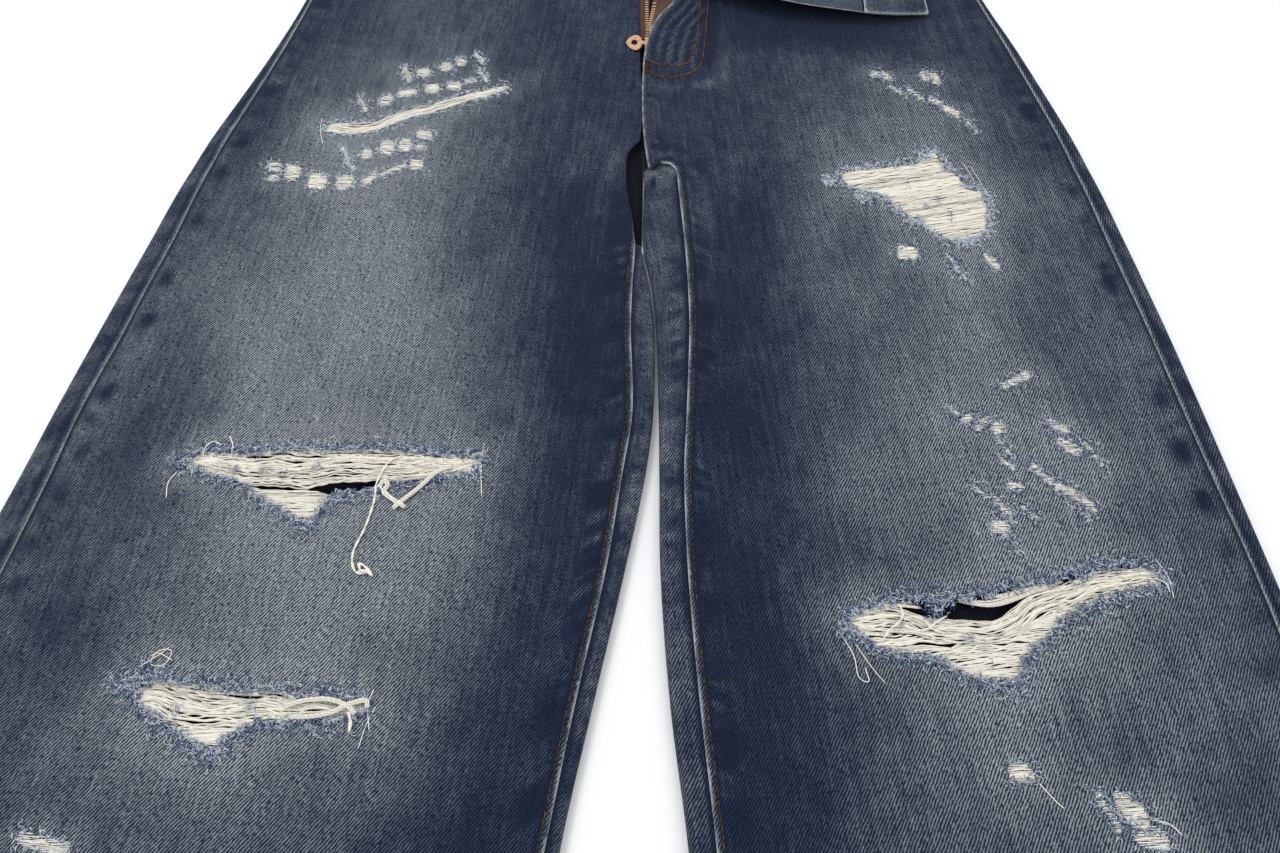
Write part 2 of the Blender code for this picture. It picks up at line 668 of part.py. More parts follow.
def zip_parts(tape, brass):
    """Shield, tapes, slider and pull of the open fly zip."""
    floor = SEAT_LIFT + WALL + SEAM_GAP
    level = floor + SHIELD_WALL + SEAM_GAP
    shield_top = WAIST_SEAM_Y - 0.6
    shield = [(-26, 88), (20, 88), (24, 120), (24, shield_top), (-26, shield_top)]
    slab("fly_shield", shield, floor, floor + SHIELD_WALL, tape["denim"])
    right_ys = steps_between(TAPE_LOW_Y, WAIST_SEAM_Y - 1, 22)
    right_line = [(read(FLY_EDGE_RIGHT, y) - 1.5, y) for y in right_ys]

    def laid(x, y, h):
        return (x, y, level + h)

    strip("zip_tape_right", right_line, TAPE_WIDTH + 2, laid, 0, TAPE_WALL, tape["tape"])
    left_ys = steps_between(TAPE_LOW_Y, 283, 12)
    left_outline = [(read(ZIP_LINE_LEFT, y) + TAPE_WIDTH / 2, y) for y in left_ys]
    left_outline += [(read(ZIP_LINE_LEFT, y) - TAPE_WIDTH / 2, y) for y in reversed(left_ys)]

    def behind(x, y, h):
        return turned_back(x, y, -WALL - 2 * SEAM_GAP + h * TAPE_WALL / WALL)

    panel("zip_tape_left", left_outline, {}, {}, behind, tape["tape"], roll_bends(110), 200)
    body = [(3, 114), (12, 114), (13, 118), (13, 126), (3, 126)]
    slider = slab("slider_body", body, level, SLIDER_TOP, brass)
    ears = []
    for y in EAR_YS:
        ear = box_outline(2.9, 6.5, y - 0.7, y + 0.7)
        ears.append(slab(f"ear_{y:.0f}", ear, SLIDER_TOP - 0.2, SLIDER_TOP + 2.1, brass))
    return slider, ears


def unite(name, base, others):
    """One solid from overlapping ones, with the unions applied."""
    for other in others:
        modifier = base.modifiers.new("join", "BOOLEAN")
        modifier.operation = "UNION"
        modifier.object = other
        other.hide_render = True
        other.display_type = "WIRE"
    base.name = name
    return base


def zip_pull(material):
    """Leaf-shaped pull with an eye, its barrel on the slider's two ears."""
    axis_x, axis_y, axis_z = PULL_AXIS
    leaf_middle, leaf_long, leaf_wide = axis_x - 7.6, 5.2, 7.0
    eye_middle, eye_long, eye_wide = axis_x - 7.4, 1.9, 2.6
    half_wall = 0.55
    count = 16
    ring, eye = [], []
    for k in range(count):
        a = 2 * math.pi * k / count
        width = leaf_wide * math.sin(a) * (1 + 0.2 * math.cos(a))
        if math.cos(a) < 0:
            width *= abs(math.sin(a)) ** 0.5
        ring.append((leaf_middle + leaf_long * math.cos(a), width))
        eye.append((eye_middle + eye_long * math.cos(a), eye_wide * math.sin(a)))
    bm = bmesh.new()
    loops = []
    for z in (-half_wall, half_wall):
        for points in (ring, eye):
            places = [(x * MM, (axis_y + y) * MM, (axis_z + z) * MM) for x, y in points]
            loops.append([bm.verts.new(place) for place in places])
    low_out, low_eye, high_out, high_eye = loops
    for k in range(count):
        n = (k + 1) % count
        bm.faces.new((high_out[k], high_out[n], high_eye[n], high_eye[k]))
        bm.faces.new((low_out[n], low_out[k], low_eye[k], low_eye[n]))
        bm.faces.new((low_out[k], low_out[n], high_out[n], high_out[k]))
        bm.faces.new((low_eye[n], low_eye[k], high_eye[k], high_eye[n]))
    bmesh.ops.translate(bm, verts=bm.verts, vec=(CENTRE[0] * MM, CENTRE[1] * MM, 0))
    bmesh.ops.recalc_face_normals(bm, faces=bm.faces)
    mesh = bpy.data.meshes.new("zip_pull")
    bm.to_mesh(mesh)
    bm.free()
    leaf = bpy.data.objects.new("zip_pull", mesh)
    bpy.context.collection.objects.link(leaf)
    mesh.materials.append(material)
    shank_outline = box_outline(axis_x - 2.6, axis_x, axis_y - 1.6, axis_y + 1.6)
    shank = slab("pull_shank", shank_outline, axis_z - 0.5, axis_z + 0.5, material)
    bpy.ops.mesh.primitive_cylinder_add(
        vertices=12, radius=0.9 * MM, depth=5.2 * MM, rotation=(math.radians(90), 0, 0),
        location=((axis_x + CENTRE[0]) * MM, (axis_y + CENTRE[1]) * MM, axis_z * MM),
    )
    barrel = bpy.context.object
    barrel.name = "pull_barrel"
    unite("zip_pull", leaf, [shank, barrel])


def tack_button(material):
    """Turned tack button on the right end of the waistband."""
    z = lift(WAIST_SEAM_Y) + 2 * FOLD_R + SEAM_GAP
    bm = bmesh.new()
    profile = ((0.0, 0.0), (8.5, 0.0), (8.5, 1.6), (7.0, 2.6), (5.6, 2.2), (0.0, 2.4))
    verts = [bm.verts.new((r * MM, 0, (z + h) * MM)) for r, h in profile]
    for a, b in zip(verts, verts[1:]):
        bm.edges.new((a, b))
    bmesh.ops.spin(
        bm, geom=bm.verts[:] + bm.edges[:], cent=(0, 0, 0), axis=(0, 0, 1),
        angle=2 * math.pi, steps=24, use_merge=True,
    )
    bmesh.ops.remove_doubles(bm, verts=bm.verts, dist=0.00001)
    bmesh.ops.translate(bm, verts=bm.verts, vec=to_row((*BUTTON_AT, 0.0)))
    bmesh.ops.recalc_face_normals(bm, faces=bm.faces)
    mesh = bpy.data.meshes.new("tack_button")
    bm.to_mesh(mesh)
    bm.free()
    obj = bpy.data.objects.new("tack_button", mesh)
    bpy.context.collection.objects.link(obj)
    mesh.materials.append(material)
    mesh.shade_smooth()
    mesh.set_sharp_from_angle(angle=math.radians(35))


def main():
    clear_scene()
    denim = make_material("faded denim", (0.12, 0.19, 0.31), 0.9)
    dark = make_material("unfaded denim", (0.06, 0.10, 0.2), 0.9)
    tape = make_material("zip tape", (0.55, 0.36, 0.24), 0.8)
    brass = make_material("copper zip metal", (0.85, 0.55, 0.38), 0.35, 0.9)
    button = make_material("button metal", (0.45, 0.33, 0.22), 0.4, 0.9)
    back_leg("back_leg_right", RIGHT_LEG, -1, denim)
    back_leg("back_leg_left", LEFT_LEG, 1, denim)
    yoke("yoke_right", RIGHT_LEG, -1, denim)
    yoke("yoke_left", LEFT_LEG, 1, denim)
    front_right(denim)
    front_left(denim)
    waistband(dark)
    for name, side, table in (("right", -1, RIGHT_LEG), ("left", 1, LEFT_LEG)):
        pocket_facing(f"pocket_facing_{name}", side, table, dark)
        back_pocket(f"back_pocket_{name}", side, denim)
    belt_loop("belt_loop_front_right", -98, True, dark)
    turned_loop("belt_loop_front_left", 96, dark)
    for name, x in (("back_right", -112), ("back_middle", 0), ("back_left", 112)):
        belt_loop(f"belt_loop_{name}", x, False, dark)
    slider, ears = zip_parts({"denim": dark, "tape": tape}, brass)
    unite("zip_slider", slider, ears)
    zip_pull(brass)
    tack_button(button)


main()
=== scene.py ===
# %% [markdown]
# # Ripped wide-leg jeans, lying flat
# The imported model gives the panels, folds and metal parts their places. This script lays thin
# denim on them and adds what a close photograph shows: worn twill, frayed rips with their weft
# threads, puckered seams, stitching and the open zip. Plan sizes are in millimetres, counted
# from the crotch fold, and "right" and "left" are the wearer's.

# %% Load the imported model
import math
import random

import bmesh
import bpy
import numpy as np
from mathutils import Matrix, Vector
from mathutils.geometry import delaunay_2d_cdt


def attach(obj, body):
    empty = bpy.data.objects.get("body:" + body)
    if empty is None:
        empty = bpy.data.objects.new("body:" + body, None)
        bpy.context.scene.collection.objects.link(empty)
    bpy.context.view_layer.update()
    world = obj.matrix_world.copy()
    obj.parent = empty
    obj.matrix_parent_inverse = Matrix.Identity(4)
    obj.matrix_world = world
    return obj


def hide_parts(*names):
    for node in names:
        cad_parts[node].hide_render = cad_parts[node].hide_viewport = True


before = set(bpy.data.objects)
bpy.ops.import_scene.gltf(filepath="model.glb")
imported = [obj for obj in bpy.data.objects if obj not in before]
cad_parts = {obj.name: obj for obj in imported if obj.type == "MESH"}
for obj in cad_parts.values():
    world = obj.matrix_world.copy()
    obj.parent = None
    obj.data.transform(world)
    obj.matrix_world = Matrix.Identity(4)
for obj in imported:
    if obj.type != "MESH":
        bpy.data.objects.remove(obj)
for obj in bpy.context.selected_objects:
    obj.select_set(False)
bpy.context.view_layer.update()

# %% [markdown]
# ## Camera, light and floor
# The photograph looks from the hems up the legs, steeply down, with a wide lens.

# %% Camera
MM = 0.001
CENTRE = (23.5, 223.9)


def to_row(points):
    """Plan points (x, y, z) in millimetres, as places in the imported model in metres."""
    return (np.asarray(points, float) + (*CENTRE, 0.0)) * MM


CAMERA_AT = to_row((0.0, -440.0, 431.0))
CAMERA_TILT = math.radians(33.0)
CAMERA_LENS = 29.7

bpy.ops.object.camera_add(location=CAMERA_AT, rotation=(CAMERA_TILT, 0.0, 0.0))
camera = bpy.context.object
camera.data.lens = CAMERA_LENS
camera.data.sensor_width = 36.0
camera.data.clip_start = 0.01
bpy.context.scene.camera = camera
bpy.context.scene.view_settings.view_transform = "Standard"
print("camera at", [round(float(v), 3) for v in CAMERA_AT])


# %% Floor and lights
AIM = (0, -0.05, 0)
# Name, place, size and power
LIGHTS = (("key_light", (-0.9, 1.1, 1.7), 0.9, 21), ("fill_light", (1.4, -0.9, 1.6), 1.6, 9))
for name, place, size, power in LIGHTS:
    bpy.ops.object.light_add(type="AREA", location=place)
    light = bpy.context.object
    light.name = name
    light.data.size = size
    light.data.energy = power
    light.rotation_euler = (Vector(AIM) - Vector(place)).to_track_quat("-Z", "Y").to_euler()
world = bpy.data.worlds.new("pale studio")
world.use_nodes = True
sky = world.node_tree.nodes["Background"].inputs
sky["Color"].default_value = (0.96, 0.98, 1.0, 1)
sky["Strength"].default_value = 0.72
bpy.context.scene.world = world

bpy.ops.mesh.primitive_plane_add(size=14, location=(0, 0, -0.0004))
floor = bpy.context.object
floor.name = "floor"

# %% [markdown]
# ## Shape of the garment
# The same tables as in the construction: one row for each station up a leg, and (y, x) rows for
# the lines at the centre. Side -1 is the right leg and 1 the left.

# %% Leg tables
LEG_COLUMNS = ("y", "side_fold", "side_seam", "inseam", "inner_fold")
RIGHT_LEG = (
    (-760, -365, -349, -104, -93),
    (-550, -345, -329, -71, -61),
    (-355, -316, -300, -36, -30.5),
    (-300, -307, -291, -26.5, -19.5),
    (-240, -298, -281.5, -15, -7),
    (-190, -290, -275, -8, 2.5),
    (-155, -285, -271.5, -3.5, 6.5),
    (-105, -277, -263, -4.5, 7.4),
    (-75, -272, -258.5, -3.8, 5.0),
    (-46, -267, -253.5, -2.4, 0.7),
    (8, -257.5, -246, -2.4, 0.7),
    (110, -230, -223, -2.4, 0.7),
    (170, -217, -212, -2.4, 0.7),
    (268, -204, -199, -2.4, 0.7),
    (310, -201, -196, -2.4, 0.7),
)
LEFT_LEG = (
    (-760, 318, 304, 62, 52),
    (-550, 305, 292, 43, 35),
    (-355, 288.5, 277, 29, 18.5),
    (-300, 284, 274, 24.5, 12.5),
    (-240, 280, 271, 21, 9),
    (-190, 276.5, 266.5, 20.5, 9),
    (-155, 274, 263.5, 22.5, 9),
    (-105, 270, 259.5, 25, 8.2),
    (-75, 267, 256.5, 25, 6.0),
    (-46, 264, 253.5, 24, 1.6),
    (8, 257.5, 248, 21, 2.4),
    (110, 237, 230, 21, 2.4),
    (170, 222.5, 217.5, 21, 2.4),
    (268, 206, 201, 21, 2.4),
    (310, 202, 197, 21, 2.4),
)
LEGS = {-1: RIGHT_LEG, 1: LEFT_LEG}
CENTRE_FRONT = ((8, 5.2), (30, 2.6), (55, 1.2), (82, 1.0))
CENTRE_BACK = ((-46, 0.9), (8, 1.7), (110, 1.5), (268, 0), (310, 0))
FLY_EDGE_RIGHT = ((82, 0.6), (100, 0.3), (125, -0.4), (160, -1), (268, -2), (310, -2))
FLY_EDGE_LEFT = (
    (82, 1.2), (105, 2.6), (128, 6), (144, 12), (163, 22), (200, 14), (250, 1.5), (300, 1), (320, 3.5),
    (342, 9),
)
ZIP_LINE_LEFT = (
    (114, 9.5), (128, 10.5), (142, 12.5), (156, 15), (172, 20), (190, 27), (210, 30), (283, 26),
)
CROTCH_HOLE = ((-38, -2.4), (-24, -4.5), (-8, -7), (10, -8), (24, -6.5), (34, 0))
HEM_Y = -760.0
HEM_DEPTH = 14.0
HEM_RAISE = 0.7
CROTCH_Y = 8.0
FORK_END = {-1: -46.0, 1: 8.0}
WAIST_SEAM_Y = 268.0
BAND_TOP_Y = 310.0
FOLD_R = 2.9
SEAT_LIFT = 1.4
SEAM_GAP = 0.3
CORNER_Y = 342.0
BAND_DEPTH = BAND_TOP_Y - WAIST_SEAM_Y
ROLL_START = np.array((22.0, 163.0))
ROLL_ANGLE = math.radians(42.0)
ROLL_R = 7.0
ROLL_DROP = 0.03
ROLL_SAG = 0.0006
ROLL_ALONG = np.array((math.cos(ROLL_ANGLE), math.sin(ROLL_ANGLE)))
ROLL_OUT = np.array((-math.sin(ROLL_ANGLE), math.cos(ROLL_ANGLE)))
POCKET_MOUTH = (118.0, 186.0)
YOKE_Y = {"side": 222.0, "centre": 196.0}
# Middle of the painted shade in the hollow at the fork
FORK_HOLLOW = (7.2, 1.0)
SOLID_WALL = 1.4
CLOTH_WALL = 0.9
LABELS = {-1: "right", 1: "left"}
# Two ends of each soft ridge, or trough, in the cloth, then its width and height
CREASES = (
    (14, 18, 30, -28, 9, 0.8),
    (30, -28, 34, -120, 10, 0.7),
    (-10, 26, -22, -20, 8, 0.8),
    (-22, -20, -40, -80, 16, 0.5),
    (-60, 60, -190, 96, 16, 0.5),
    (70, 20, 190, 60, 18, 0.5),
    (90, 70, 215, 92, 14, 0.4),
    (-120, -60, -250, -20, 26, -0.5),
    (60, -130, 235, -70, 26, -0.5),
    (-90, -225, -270, -240, 22, 0.5),
    (60, -200, 235, -185, 22, 0.5),
    (-70, -330, -250, -350, 24, 0.5),
    (60, -380, 240, -360, 26, 0.5),
    (-110, -470, -290, -440, 30, 0.6),
    (90, -520, 270, -490, 30, 0.5),
    (-130, -640, -330, -610, 34, -0.5),
    (90, -660, 290, -630, 34, 0.5),
)


# %% Heights and places
def smooth(t):
    t = np.clip(t, 0.0, 1.0)
    return t * t * (3 - 2 * t)


def hump(distance, width, power=2):
    """1 at no distance, falling smoothly to nothing past the width."""
    return np.exp(-((distance / width) ** power))


def read(table, y, column=1):
    """The table's value at Y, on a smooth curve through its rows."""
    rows = np.array(sorted(row[: column + 1] for row in table), float)
    ys, values = rows[:, 0], rows[:, column]
    y = np.clip(np.asarray(y, float), ys[0], ys[-1])
    i = np.clip(np.searchsorted(ys, y) - 1, 0, len(ys) - 2)
    order = np.arange(len(ys))
    below, above = np.maximum(order - 1, 0), np.minimum(order + 1, len(ys) - 1)
    slope = (values[above] - values[below]) / (ys[above] - ys[below])
    step = ys[i + 1] - ys[i]
    t = (y - ys[i]) / step
    ends = (2 * t**3 - 3 * t**2 + 1) * values[i] + (3 * t**2 - 2 * t**3) * values[i + 1]
    return ends + step * ((t**3 - 2 * t**2 + t) * slope[i] + (t**3 - t**2) * slope[i + 1])


def leg(side, y, name):
    return read(LEGS[side], y, LEG_COLUMNS.index(name))


def read_at(table, y):
    return float(read(table, y))


def leg_at(side, y, name):
    return float(leg(side, y, name))


def lift(y):
    return SEAT_LIFT * smooth((np.asarray(y, float) - 5) / 35)


def line_distance(x, y, line):
    """Distance from points to a line of (x, y) corners."""
    nearest = np.full(np.shape(x), 1e9)
    for (x0, y0), (x1, y1) in zip(line, line[1:]):
        run = np.array((x1 - x0, y1 - y0), float)
        t = np.clip(((x - x0) * run[0] + (y - y0) * run[1]) / max(run @ run, 1e-9), 0, 1)
        nearest = np.minimum(nearest, np.hypot(x - x0 - t * run[0], y - y0 - t * run[1]))
    return nearest


def crease_height(x, y):
    total = np.zeros(np.shape(x))
    for x0, y0, x1, y1, width, height in CREASES:
        total += height * hump(line_distance(x, y, ((x0, y0), (x1, y1))), width)
    return total


def top_height(x, y, side):
    """Outer height of a front panel: level at the folds, slacker in the middle of the leg."""
    outer = leg(side, y, "side_fold")
    inner = np.where(y < CROTCH_Y, leg(side, y, "inner_fold"), read(CENTRE_FRONT, y))
    inside = np.minimum(abs(x - outer), abs(x - inner))
    slack = smooth((inside - 12) / 40)
    crease = crease_height(x, y)
    z = 2 * FOLD_R + lift(y) + slack * (crease - 0.6)
    z += (1 - slack) * np.maximum(crease, 0) * smooth((abs(x - outer) - 8) / 10) * 0.8
    return z + np.where(y < HEM_Y + HEM_DEPTH, HEM_RAISE, 0.0)


def fly_lift(x, y):
    edge = read(FLY_EDGE_LEFT, y)
    up = smooth((y - 84) / 16) * (1 - 0.2 * smooth((y - 120) / 40))
    return 4.6 * up * (1 - smooth((x - edge) / 34))


def front_height(x, y, side):
    z = top_height(x, y, side)
    return z + fly_lift(x, y) if side > 0 else z


def lay_front(x, y, h, side):
    """Places of plan points on a front panel, h above its outer face; the left corner is turned."""
    x, y, h = (np.asarray(v, float) for v in np.broadcast_arrays(x, y, h))
    flat = np.stack((x, y, front_height(x, y, side) + h), -1)
    if side < 0:
        return flat
    away = np.stack((x, y), -1) - ROLL_START
    past = away @ ROLL_OUT
    foot = ROLL_START + (away @ ROLL_ALONG)[..., None] * ROLL_ALONG
    z0 = front_height(foot[..., 0], foot[..., 1], side)
    turn = np.clip(past / ROLL_R, 0, math.pi)
    over = np.maximum(past - math.pi * ROLL_R, 0)
    out = (ROLL_R - h) * np.sin(turn) - over
    z = z0 + ROLL_R - (ROLL_R - h) * np.cos(turn) - ROLL_DROP * over - ROLL_SAG * over**2
    rolled = np.concatenate((foot + out[..., None] * ROLL_OUT, z[..., None]), -1)
    return np.where((past > 0)[..., None], rolled, flat)


def waist_y(x):
    t = np.clip((np.asarray(x, float) - 8) / 190, 0, 1)
    return CORNER_Y - BAND_DEPTH + (WAIST_SEAM_Y - CORNER_Y + BAND_DEPTH) * t


def pocket_mouth(side, steps=18):
    """The curved mouth of a front pocket, from the waist seam down to the side seam."""
    end_x = abs(leg(side, POCKET_MOUTH[1], "side_seam")) - SEAM_GAP / 2
    wide = end_x - POCKET_MOUTH[0]
    tall = WAIST_SEAM_Y - SEAM_GAP / 2 - POCKET_MOUTH[1]
    curve = []
    for k in range(steps + 1):
        a = math.radians(90 * k / steps)
        x = POCKET_MOUTH[0] + wide * (1 - math.cos(a)) ** 0.85
        y = POCKET_MOUTH[1] + tall * (1 - math.sin(a)) ** 0.85
        curve.append((side * x, min(y, float(waist_y(x))) if side > 0 else y))
    return curve


def spaced(a, b, size):
    return np.linspace(a, b, max(2, round(abs(b - a) / size) + 1))


def run_length(points):
    """How far along its line each point is."""
    return np.concatenate(((0,), np.cumsum(np.linalg.norm(np.diff(points, axis=0), axis=1))))


# %% [markdown]
# ## Where the denim is worn, and where shade is painted
# Each point of the cloth carries three amounts: how faded it is, how bleached (high, rubbed
# edges) and how dark: troughs of the roping and lines and spots by the seams, and painted shade
# beside the raised inseam edges, in the hollow at the fork, in the fold beside the fly's J and
# under the turned corner. The creases are lighter on top and darker in the troughs, as wear and
# as painted shade.

# %% Wear and painted shade of the cloth
FADE_LINES = {
    -1: ((-760, -235), (-420, -205), (-338, -178), (-235, -138), (-105, -155), (43, -150), (268, -105)),
    1: ((-760, 185), (-420, 168), (-330, 164), (-215, 164), (-105, 160), (43, 152), (268, 105)),
}
FADE_ALONG = {
    -1: (
        (-760, 0.1), (-560, 0.3), (-420, 0.34), (-350, 0.42), (-312, 0.72), (-270, 0.94), (-180, 0.98),
        (-60, 0.9), (30, 0.8), (90, 0.42), (170, 0.22), (310, 0.14),
    ),
    1: (
        (-760, 0.1), (-560, 0.3), (-420, 0.44), (-340, 0.52), (-270, 0.74), (-180, 0.7), (-60, 0.64),
        (30, 0.6), (90, 0.24), (170, 0.06), (310, 0.1),
    ),
}
FADE_WIDTH = ((-760, 86), (-330, 82), (-200, 78), (-60, 74), (60, 62), (268, 46))
GRAIN = {-1: math.radians(6.0), 1: math.radians(-5.0)}


def waves(x, y, seed, size):
    """Soft uneven hills between about -1 and 1, the same each run."""
    rng = random.Random(seed)
    total = np.zeros(np.shape(x))
    for k in range(6):
        angle = rng.uniform(0, 2 * math.pi)
        pitch = size * rng.uniform(0.6, 1.7)
        phase = rng.uniform(0, 2 * math.pi)
        total += np.sin((x * math.cos(angle) + y * math.sin(angle)) * 2 * math.pi / pitch + phase)
    return total / 3.2


def pucker(distance, along, seed, pitch=9.5, reach=12.0):
    """Roping beside a felled seam: height between -1 and 1 with its reach from the edge."""
    swell = smooth((distance - 1.4) / 3.2) * (1 - smooth((distance - reach * 0.62) / (reach * 0.55)))
    uneven = 0.7 + 0.45 * waves(along, distance * 0, seed, 60)
    drift = 1.1 * waves(along, distance * 0, seed + 1, 34)
    return swell * uneven * np.sin(2 * math.pi * (along + 0.55 * distance) / pitch + drift * 1.6)


# The J of the fly's stitching: the rubbed cloth along it, and painted shade along the fold beside it
J_RUBBED = ((51, 138), (54, 112), (50, 90), (38, 82), (22, 80), (8, 82))
J_SHADE = ((47, 170), (46, 140), (44, 116), (40, 104))
INSEAM_TOP = ((21.4, 4), (21, 9), (19.2, 12.6), (16.8, 15), (13.8, 15.6))
RIDGES = {
    -1: ((-10, 27), (-18, 8), (-22, -7), (-24, -33), (-22, -60)),
    1: ((9, 23), (26, 17), (35, -3), (39, -33), (39, -67)),
}


def front_wear_and_shade(x, y, side):
    """Height of the small relief and the amounts of wear and painted shade of a front panel, by plan place.
    """
    inseam = leg(side, y, "inseam")
    seam_d = np.where(y < CROTCH_Y, side * (x - inseam), 99.0)
    side_d = np.abs(leg(side, y, "side_seam") - x)
    fly = read(FLY_EDGE_LEFT if side > 0 else FLY_EDGE_RIGHT, y)
    centre_x = np.where(y < 82, read(CENTRE_FRONT, y), fly)
    centre_d = np.where(y >= CROTCH_Y - 4, side * (x - centre_x), 99.0)
    hem_d = y - HEM_Y
    ropes = 0.75 * pucker(seam_d, y, 11 + side, 9.6, 13.0)
    ropes += 0.55 * pucker(side_d, y, 21 + side, 17.0, 13.0)
    ropes += 0.8 * np.where(y < 84, pucker(centre_d, y, 31 + side, 8.5, 11.0), 0)
    ropes += 1.1 * pucker(hem_d, x + 0.8 * y, 41 + side, 8.0, 13.0)
    folded = 1 - smooth((seam_d - 11.5) / 1.6)
    ridge = hump(line_distance(x, y, RIDGES[side]), 2.6)
    if side > 0:
        seam_d = np.minimum(seam_d, line_distance(x, y, INSEAM_TOP))
    edge = hump(seam_d, 2.0) + hump(hem_d, 1.2)
    if side > 0:
        edge = edge + hump(centre_d, 1.7) * (y > 11)
    else:
        edge = edge + 0.25 * hump(centre_d, 1.0) * (y > 82)
    rope = 0.5 + 0.5 * np.sin(2 * math.pi * (y + 0.9 * seam_d) / 2.4)
    edge = edge * (0.72 + 0.28 * rope)
    groove = hump(side_d, 1.5)
    height = 0.42 * ropes + 0.32 * folded + 0.3 * ridge - 0.35 * edge - 0.4 * groove
    from_middle = np.abs(x - read(FADE_LINES[side], y))
    fade = hump(from_middle, read(FADE_WIDTH, y), 2.6) * read(FADE_ALONG[side], y)
    fade = fade * (0.9 + 0.16 * waves(x, y, 51 + side, 110)) + 0.05 * waves(x, y, 55 + side, 40)
    creases = crease_height(x, y)
    # Lighter on the crease ridges and darker in their troughs: wear, and painted shade of the creases
    fade = fade + 0.12 * creases + 0.2 * hump(side_d - 8, 22) * smooth((30 - y) / 60)
    patchy = smooth(0.5 + 0.9 * waves(x * 0.5, y, 75 + side, 30))
    high = 0.45 * np.maximum(ropes, 0) * patchy + 1.25 * edge
    high = high + 0.35 * ridge * (0.6 + 0.4 * waves(x, y, 61, 9))
    dark = 0.8 * np.maximum(-ropes, 0) * patchy + 0.9 * groove
    dark = dark + 0.75 * hump(seam_d - 3.4, 1.0)
    spots = hump(side_d - 9, 4.5) * np.maximum(waves(x * 0.6, y, 71 + side, 19), 0)
    spots += 1.1 * hump(seam_d - 9, 5.5) * np.maximum(waves(x * 0.6, y, 73 + side, 22), 0)
    dark = dark + 0.85 * spots + 0.3 * hump(seam_d - 26, 24) * smooth((20 - y) / 40)
    if side > 0:
        flap = hump(x - fly - 19, 17, 4) * smooth((y - 97) / 8)
        streaks = np.sin((x - fly) * 2 * math.pi / 7.2 + 0.9 * waves(x, y * 0.4, 81, 40))
        broken = 0.75 + 0.4 * waves(x, y * 0.3, 83, 12)
        height = height + 0.4 * flap * streaks
        high = high + 0.62 * flap * np.maximum(streaks, 0) * broken
        dark = dark + 0.8 * flap * np.maximum(-streaks, 0)
        rubbed = hump(line_distance(x, y, J_RUBBED), 4.5)
        high = high + 0.55 * rubbed * (0.55 + 0.5 * waves(x, y * 0.3, 85, 9))
        # Painted shadow under the turned corner, which also takes out its fade, and painted shade in the fold
        # beside the J
        shade = hump(x - 112, 64, 4) * hump(y - 146, 30, 4)
        dark = dark + 0.45 * shade + 0.8 * hump(line_distance(x, y, J_SHADE), 3.6)
        fade = fade * (1 - 0.8 * shade)
    return height, np.clip(fade, 0, 1.2), np.clip(high, 0, 1.4), np.clip(dark, 0, 1.2)


# %% [markdown]
# ## Materials
# Twill is drawn from each piece's own grain map in millimetres: u across the warp, v along it.

# %% Node helper
class Nodes:
    """Adds nodes to a tree and joins their sockets."""

    def __init__(self, tree):
        self.tree = tree
        self.count = 0

    def add(self, kind, inputs=None, **settings):
        node = self.tree.nodes.new(kind)
        node.location = (200 * (self.count % 8), -220 * (self.count // 8))
        self.count += 1
        for name, value in settings.items():
            setattr(node, name, value)
        for name, value in (inputs or {}).items():
            self.put(node.inputs[name], value)
        return node

    def put(self, socket, value):
        if isinstance(value, bpy.types.NodeSocket):
            self.tree.links.new(value, socket)
        else:
            socket.default_value = value

    def math(self, operation, a, b=0.0, c=0.0):
        node = self.add("ShaderNodeMath", {0: a, 1: b, 2: c}, operation=operation)
        return node.outputs[0]

    def times(self, a, b):
        return self.math("MULTIPLY", a, b)

    def plus(self, a, b):
        return self.math("ADD", a, b)

    def swing(self, value, size):
        """A value about a half, as one about nothing, times the size."""
        return self.times(self.plus(value, -0.5), size)

    def span(self, value, low, high, to_low=0.0, to_high=1.0):
        words = {"Value": value, "From Min": low, "From Max": high, "To Min": to_low, "To Max": to_high}
        node = self.add("ShaderNodeMapRange", words, interpolation_type="SMOOTHSTEP")
        return node.outputs["Result"]

    def mix(self, factor, a, b):
        node = self.add("ShaderNodeMix", data_type="RGBA")
        self.put(node.inputs[0], factor)
        for socket, value in ((node.inputs[6], a), (node.inputs[7], b)):
            self.put(socket, value if isinstance(value, bpy.types.NodeSocket) else (*value, 1))
        return node.outputs[2]

    def split(self, vector):
        return self.add("ShaderNodeSeparateXYZ", {0: vector}).outputs

    def bump(self, shader, strength, distance, height):
        words = {"Strength": strength, "Distance": distance, "Height": height}
        self.put(shader.inputs["Normal"], self.add("ShaderNodeBump", words).outputs[0])

    def noise(self, vector, scale, detail=2.0, roughness=0.5):
        words = {"Vector": vector, "Scale": scale, "Detail": detail, "Roughness": roughness}
        return self.add("ShaderNodeTexNoise", words).outputs["Fac"]

    def stretch(self, vector, x, y):
        words = {0: vector, 1: (x, y, 1.0)}
        return self.add("ShaderNodeVectorMath", words, operation="MULTIPLY").outputs[0]


def linear(r, g, b):
    """A display colour, 0 to 255, as linear light."""
    return tuple(((v / 255 + 0.055) / 1.055) ** 2.4 if v > 10 else v / 255 / 12.92 for v in (r, g, b))


# %% Twill node group
TWILL_ANGLE = math.radians(56.4)
TWILL_PITCH = 1.2


